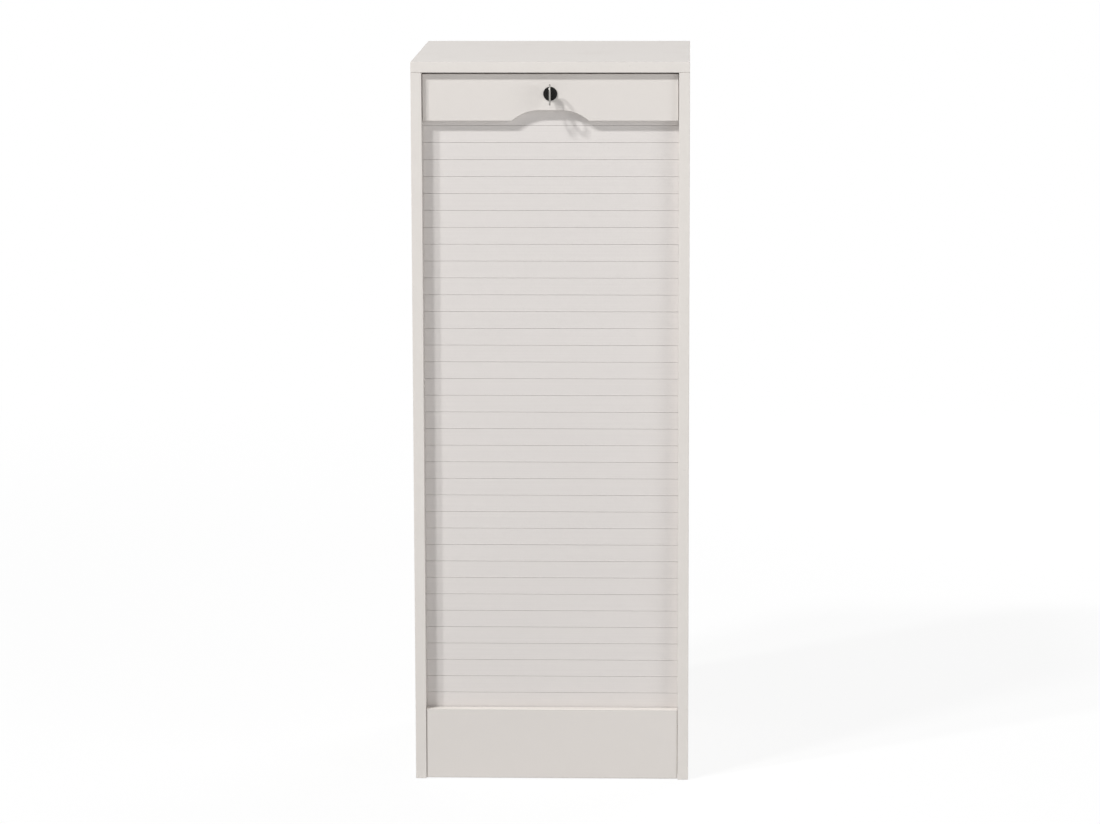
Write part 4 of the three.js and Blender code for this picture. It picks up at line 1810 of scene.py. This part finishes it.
@dataclass
class Lock:
    """The lock's housing in the rail, its nut behind, and the plug that turns the cam."""

    rosette_radius: float = 0.0103
    rosette_thickness: float = 0.00165
    housing_radius: float = 0.008
    bore_radius: float = 0.0063
    plug_radius: float = 0.006
    rim: float = 0.0006
    rim_band: float = 0.0009
    step_width: float = 0.00015
    face_sink: float = 0.0002
    plug_band: float = 0.0006
    plug_rise: float = 0.00012
    soft_edge: float = 0.0003
    thread_pitch: float = 0.001
    thread_depth: float = 0.0003
    nut_slack: float = 0.0003
    keyway_width: float = 0.0026
    keyway_height: float = 0.0079
    keyway_wall: float = 0.0045
    shank_radius: float = 0.003
    screw_slack: float = 0.0003
    cam_screw: Screw = field(default_factory=lambda: Screw(
        Head.PAN, head_radius=0.0036, head_height=0.0018, shank_radius=0.0015, length=0.008,
    ))

    def build(self) -> None:
        """Builds the lock's pieces."""
        self.housing()
        self.nut()
        self.plug()
        self.cam()

    def housing(self) -> None:
        """A turned rosette with a raised rim, and its threaded barrel."""
        low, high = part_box("lock_housing")
        back = low.y + self.rosette_thickness
        face, seat = lock_axis(low.y), lock_axis(back)
        piece = Workpiece.rod("lock_rosette", face, seat, self.rosette_radius, Sides.LARGE)
        rear, front = facing(INWARD), facing(-INWARD)
        piece.inset(rear, self.rosette_radius - self.housing_radius)
        turns = int((high.y - back) / self.thread_pitch)
        half = INWARD * (high.y - back) / (2 * turns)
        dip = 1 - self.thread_depth / self.housing_radius
        thread = [(half, (dip, 1, dip)), (half, (1 / dip, 1, 1 / dip))] * turns
        piece.extrude(rear, *thread)
        piece.bevel(rim_beyond(-INWARD, -low.y), self.rim, Rounding.FULL)
        piece.inset(front, self.rim_band)
        piece.inset(front, self.step_width, -self.face_sink)
        piece.cut(self.bore(low.y, high.y, self.bore_radius))
        piece.wear(BLACK_LACQUER).fit(Body.CURTAIN, Slot.BLACK_LOCK, "lock_housing")

    def bore(self, front: float, back: float, radius: float) -> Workpiece:
        """The cutter of a round hole on the lock's axis, right through from front to back."""
        start, end = lock_axis(front - OVERRUN), lock_axis(back + OVERRUN)
        return Workpiece.rod("bore", start, end, radius, Sides.LARGE)

    def nut(self) -> None:
        """The hexagonal nut, chamfered and bored."""
        low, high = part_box("lock_nut")
        radius = max(high.x - low.x, high.z - low.z) / 2
        piece = Workpiece.rod("lock_ring_nut", lock_axis(low.y), lock_axis(high.y), radius, Sides.HEXAGON)
        piece.cut(self.bore(low.y, high.y, self.housing_radius + self.nut_slack))
        piece.bevel(crossing(INWARD), self.soft_edge, Rounding.SLIGHT)
        piece.wear(ZINC).fit(Body.CURTAIN, Slot.ZINC, "lock_nut")

    def plug(self) -> None:
        """The turning plug with its keyway and a rubbed ring round it."""
        low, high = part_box("lock_plug")
        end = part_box("lock_housing")[1].y
        piece = Workpiece.rod("lock_core", lock_axis(low.y), lock_axis(end), self.plug_radius, Sides.LARGE)
        front, rear = facing(-INWARD), facing(INWARD)
        piece.inset(rear, self.plug_radius - self.shank_radius)
        piece.extrude(rear, (INWARD * (high.y - end), EVEN))
        piece.bevel(rim_beyond(-INWARD, -low.y), self.soft_edge)
        piece.inset(front, self.plug_band)
        piece.inset(front, self.step_width, self.plug_rise)
        half = Vector((self.keyway_width / 2, 0, self.keyway_height / 2))
        start = lock_axis(low.y - OVERRUN) - half
        stop = lock_axis(end - self.keyway_wall) + half
        keyway = Workpiece.box("keyway", start, stop)
        keyway.bevel(running(INWARD, OVERRUN), self.soft_edge, Rounding.SLIGHT)
        screw = self.cam_screw
        tip, radius = lock_axis(high.y - screw.length), screw.shank_radius + self.screw_slack
        mouth = lock_axis(high.y + OVERRUN)
        piece.cut(keyway, Workpiece.rod("hole", mouth, tip, radius, Sides.SCREW_HOLE))
        piece.wear(BLACK_LACQUER).fit(Body.CYLINDER, Slot.BLACK_LOCK, "lock_plug")

    def cam(self) -> None:
        """The stamped cam with softened edges, and the screw that holds it."""
        piece = Workpiece.refined("lock_arm", "lock_cam")
        piece.bevel(is_corner, self.soft_edge, Rounding.SLIGHT).wear(ZINC)
        piece.fit(Body.CYLINDER, Slot.ZINC, "lock_cam")
        self.cam_screw.drive("cam_fixing", ("cam_screw",), INWARD, Body.CYLINDER)


@dataclass
class Key:
    """The flat key: an oval bow with a ring slot, and a notched, milled blade."""

    unit_radius: float = 0.5
    bow_depth: float = 0.021
    bow_height: float = 0.031
    hole_depth: float = 0.011
    hole_height: float = 0.018
    neck_height: float = 0.009
    neck_root_share: float = 0.3
    shoulder_gap: float = 0.0003
    blade_height: float = 0.0072
    blade_step: float = 0.00005
    bow_rim: float = 0.0004
    blade_rim: float = 0.0002
    mill_depth: float = 0.0005
    mill_height: float = 0.0012
    notch_width: float = 0.0013
    notch_pitch: float = 0.0026
    notch_set_back: float = 0.004
    notch_depths: Sequence[float] = (0.0016, 0.0007, 0.002, 0.0011)
    notch_taper: float = 0.4
    tip_length: float = 0.003
    tip_share: float = 0.42

    def build(self) -> None:
        """Models the key and hands it over."""
        low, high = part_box("door_key")
        middle = lock_axis(low.y + self.bow_depth / 2)
        half = (high.x - low.x) / 2
        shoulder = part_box("lock_plug")[0].y - self.shoulder_gap
        piece = self.bow(middle, half, shoulder)
        piece.unite(self.blade(half - self.blade_step, shoulder - OVERRUN, high.y, middle.z))
        piece.wear(NICKEL).fit(Body.KEY, Slot.NICKEL, "door_key")

    def bow(self, middle: Vector, half: float, shoulder: float) -> Workpiece:
        """The bow with its ring hole and its neck, welded thick and planed down to one thickness.

        Args:
            middle: the bow's middle.
            half: half the key's thickness.
            shoulder: where the neck ends.

        Returns:
            The bow, named as the whole key.
        """
        thick = half + OVERRUN
        piece = self.oval("key_bow", middle, thick, self.bow_depth, self.bow_height, Sides.LARGE)
        root = middle.y + self.bow_depth * self.neck_root_share
        piece.unite(self.bar(thick + OVERRUN, root, shoulder, middle.z, self.neck_height))
        for side in Side:
            way = RIGHT * side.value
            piece.plane(way * half, way)
        piece.cut(self.oval("hole", middle, thick, self.hole_depth, self.hole_height, Sides.WIDE_HOLE))
        return piece.bevel(is_corner, self.bow_rim)

    def oval(
        self, name: str, middle: Vector, half: float, depth: float, height: float, sides: Sides,
    ) -> Workpiece:
        """An oval disc that stands across x.

        Args:
            name: the piece's name.
            middle: its middle.
            half: half its thickness.
            depth: its size along y.
            height: its size along z.
            sides: how many sides stand for its round.

        Returns:
            The disc.
        """
        across = RIGHT * half
        piece = Workpiece.rod(name, middle - across, middle + across, self.unit_radius, sides)
        with piece.editing(Pick.FACES, everything):
            bpy.ops.transform.resize(value=(1, depth, height), center_override=middle)
        return piece

    def bar(self, half: float, front: float, back: float, height: float, tall: float) -> Workpiece:
        """A flat bar as thick as the key, at the lock's height."""
        low = Vector((-half, front, height - tall / 2))
        return Workpiece.box("bar", low, Vector((half, back, height + tall / 2)))

    def blade(self, half: float, front: float, back: float, height: float) -> Workpiece:
        """The blade, with its tip tapered, its faces milled and its lower edge notched.

        Args:
            half: half its thickness.
            front: where it leaves the shoulder.
            back: where its tip ends.
            height: the height of its middle.

        Returns:
            The blade.
        """
        piece = self.bar(half, front, back - self.tip_length, height, self.blade_height)
        piece.extrude(facing(INWARD), (INWARD * self.tip_length, (1, 1, self.tip_share)))
        piece.bevel(is_corner, self.blade_rim, Rounding.SLIGHT)
        foot = height - self.blade_height / 2
        for side in Side:
            face = side.value * half
            low = Vector((face - self.mill_depth, front + self.notch_set_back, height))
            high = Vector((face + self.mill_depth, back + OVERRUN, height + self.mill_height))
            piece.cut(Workpiece.box("mill", low, high))
        for i, depth in enumerate(self.notch_depths):
            start = front + OVERRUN + self.notch_set_back + i * self.notch_pitch
            low = Vector((-half - OVERRUN, start, foot - OVERRUN))
            high = Vector((half + OVERRUN, start + self.notch_width, foot + depth))
            notch = Workpiece.box("notch", low, high)
            with notch.editing(Pick.FACES, facing(UP)):
                bpy.ops.transform.resize(value=(1, self.notch_taper, 1))
            piece.cut(notch)
        return piece


# Studio


@dataclass(frozen=True)
class Lamp:
    """A lamp that stands some way off and shines on the lock.

    Attributes:
        name: the lamp's name.
        aim: the way that its light travels.
        level: the light that it throws on a face turned to it, in watts on a square metre.
        reach: how far it stands from the lock.
        size: how wide it is.
        mirrored: whether it shows in glossy faces.
    """

    name: str
    aim: Colour
    level: float
    reach: float
    size: float
    mirrored: bool = True


@dataclass
class Studio:
    """Camera, lamps, world and floor."""

    camera_place: Colour = (0.205, -6.199, 1.549)
    camera_turn: Colour = (80.65, 0.156, 1.944)
    lens: float = 134.12
    sensor: float = 36.0
    lamps: Sequence[Lamp] = (
        Lamp("left_lamp", aim=(0.87, 1.0, -1.43), level=1.6, reach=8.5, size=1.0),
        Lamp("far_left_lamp", aim=(1.36, 1.0, -1.43), level=1.3, reach=9.5, size=0.5),
        Lamp("right_lamp", aim=(-1.5, 1.0, -0.3), level=0.85, reach=4.0, size=2.0, mirrored=False),
        Lamp("front_lamp", aim=(0.1, 1.0, -0.05), level=0.28, reach=1.6, size=1.0, mirrored=False),
        Lamp("rear_lamp", aim=(-0.5, -1.0, -0.15), level=2.0, reach=5.0, size=3.0, mirrored=False),
    )
    target: Colour = (0.0, -0.19, 1.03)
    sky: float = 0.12
    floor_half: float = 60.0
    floor_bounce: float = 0.64
    floor_white: float = 0.97
    shadow_share: float = 0.12
    shadow_reach: Span = (1.2, 3.5)
    floor_drop: float = 0.0002
    floor_roughness: float = 0.9
    floor_specular: float = 0.1

    def build(self) -> None:
        """Sets up everything around the cabinet."""
        self.camera()
        for lamp in self.lamps:
            self.hang(lamp)
        self.world()
        self.floor()
        bpy.context.scene.view_settings.view_transform = "Standard"

    def camera(self) -> None:
        """Places the camera as the photograph was taken."""
        data = bpy.data.cameras.new("camera")
        data.lens = self.lens
        data.sensor_width = self.sensor
        camera = bpy.data.objects.new("camera", data)
        camera.location = self.camera_place
        camera.rotation_euler = [math.radians(angle) for angle in self.camera_turn]
        bpy.context.scene.collection.objects.link(camera)
        bpy.context.scene.camera = camera

    def hang(self, lamp: Lamp) -> None:
        """Hangs a lamp and aims it at the lock.

        Args:
            lamp: the lamp.
        """
        data = bpy.data.lights.new(lamp.name, "AREA")
        data.shape = "DISK"
        data.size = lamp.size
        data.energy = lamp.level * math.pi * lamp.reach ** 2
        aim = Vector(lamp.aim).normalized()
        obj = bpy.data.objects.new(lamp.name, data)
        obj.location = Vector(self.target) - aim * lamp.reach
        obj.rotation_euler = aim.to_track_quat("-Z", "Y").to_euler()
        obj.visible_camera = False
        obj.visible_glossy = lamp.mirrored
        bpy.context.scene.collection.objects.link(obj)

    def seen_directly(self, tree: bpy.types.NodeTree) -> Socket:
        """Tells apart what is seen and what only lights.

        Args:
            tree: the nodes to add to.

        Returns:
            1 for rays from the camera, a mirror or glass, and 0 for the rest.
        """
        path = tree.nodes.new("ShaderNodeLightPath")
        total = path.outputs["Is Camera Ray"]
        for other in ("Is Glossy Ray", "Is Transmission Ray"):
            add = tree.nodes.new("ShaderNodeMath")
            add.use_clamp = True
            tree.links.new(total, add.inputs[0])
            tree.links.new(path.outputs[other], add.inputs[1])
            total = add.outputs[0]
        return total

    def world(self) -> None:
        """A soft sky that looks white but lights gently."""
        world = bpy.data.worlds.new("studio")
        bpy.context.scene.world = world
        world.use_nodes = True
        tree = world.node_tree
        strength = tree.nodes.new("ShaderNodeMapRange")
        tree.links.new(self.seen_directly(tree), strength.inputs["Value"])
        strength.inputs["To Min"].default_value = self.sky
        tree.nodes["Background"].inputs["Color"].default_value = (1, 1, 1, 1)
        tree.links.new(strength.outputs["Result"], tree.nodes["Background"].inputs["Strength"])

    def floor(self) -> None:
        """A white floor that keeps a light shadow of the cabinet."""
        size = 2 * self.floor_half
        bpy.ops.object.select_all(action="DESELECT")
        bpy.ops.mesh.primitive_plane_add(size=size, location=-UP * self.floor_drop)
        floor = Workpiece.placed("floor")
        floor.obj.data.materials.append(self.floor_material())

    def floor_material(self) -> Material:
        """A matt white that fades into plain white away from the cabinet.

        Returns:
            The floor's material.
        """
        material = bpy.data.materials.new("white_floor")
        material.use_nodes = True
        tree = material.node_tree
        lit = tree.nodes["Principled BSDF"]
        lit.inputs["Roughness"].default_value = self.floor_roughness
        lit.inputs["Specular IOR Level"].default_value = self.floor_specular
        seen = self.seen_directly(tree)
        tone = tree.nodes.new("ShaderNodeMapRange")
        tone.inputs["To Min"].default_value = self.floor_bounce
        tone.inputs["To Max"].default_value = self.floor_white
        share = tree.nodes.new("ShaderNodeMath")
        share.operation = "MULTIPLY"
        glow = tree.nodes.new("ShaderNodeEmission")
        mix = tree.nodes.new("ShaderNodeMixShader")
        for output, socket in (
            (seen, tone.inputs["Value"]),
            (tone.outputs["Result"], lit.inputs["Base Color"]),
            (seen, share.inputs[0]),
            (self.distance_fade(tree), share.inputs[1]),
            (share.outputs[0], mix.inputs["Fac"]),
            (lit.outputs[0], mix.inputs[1]),
            (glow.outputs[0], mix.inputs[2]),
            (mix.outputs[0], tree.nodes["Material Output"].inputs["Surface"]),
        ):
            tree.links.new(output, socket)
        return material

    def distance_fade(self, tree: bpy.types.NodeTree) -> Socket:
        """How plain the floor is, by the distance from the cabinet's middle.

        Args:
            tree: the nodes to add to.

        Returns:
            The share of plain white.
        """
        far = tree.nodes.new("ShaderNodeVectorMath")
        far.operation = "LENGTH"
        tree.links.new(tree.nodes.new("ShaderNodeTexCoord").outputs["Object"], far.inputs[0])
        fade = tree.nodes.new("ShaderNodeMapRange")
        fade.interpolation_type = "SMOOTHSTEP"
        near, end = self.shadow_reach
        for label, value in (("From Min", near), ("From Max", end), ("To Min", 1 - self.shadow_share)):
            fade.inputs[label].default_value = value
        tree.links.new(far.outputs["Value"], fade.inputs["Value"])
        return fade.outputs["Result"]


def main() -> None:
    """Builds the cabinet and its studio."""
    logging.basicConfig(level=logging.INFO, format="%(name)s: %(message)s")
    carcass = Carcass()
    carcass.build()
    BackPanels().build()
    Fittings().build(carcass)
    Curtain().build()
    Lock().build()
    Key().build()
    Studio().build()


if __name__ == "__main__":
    main()
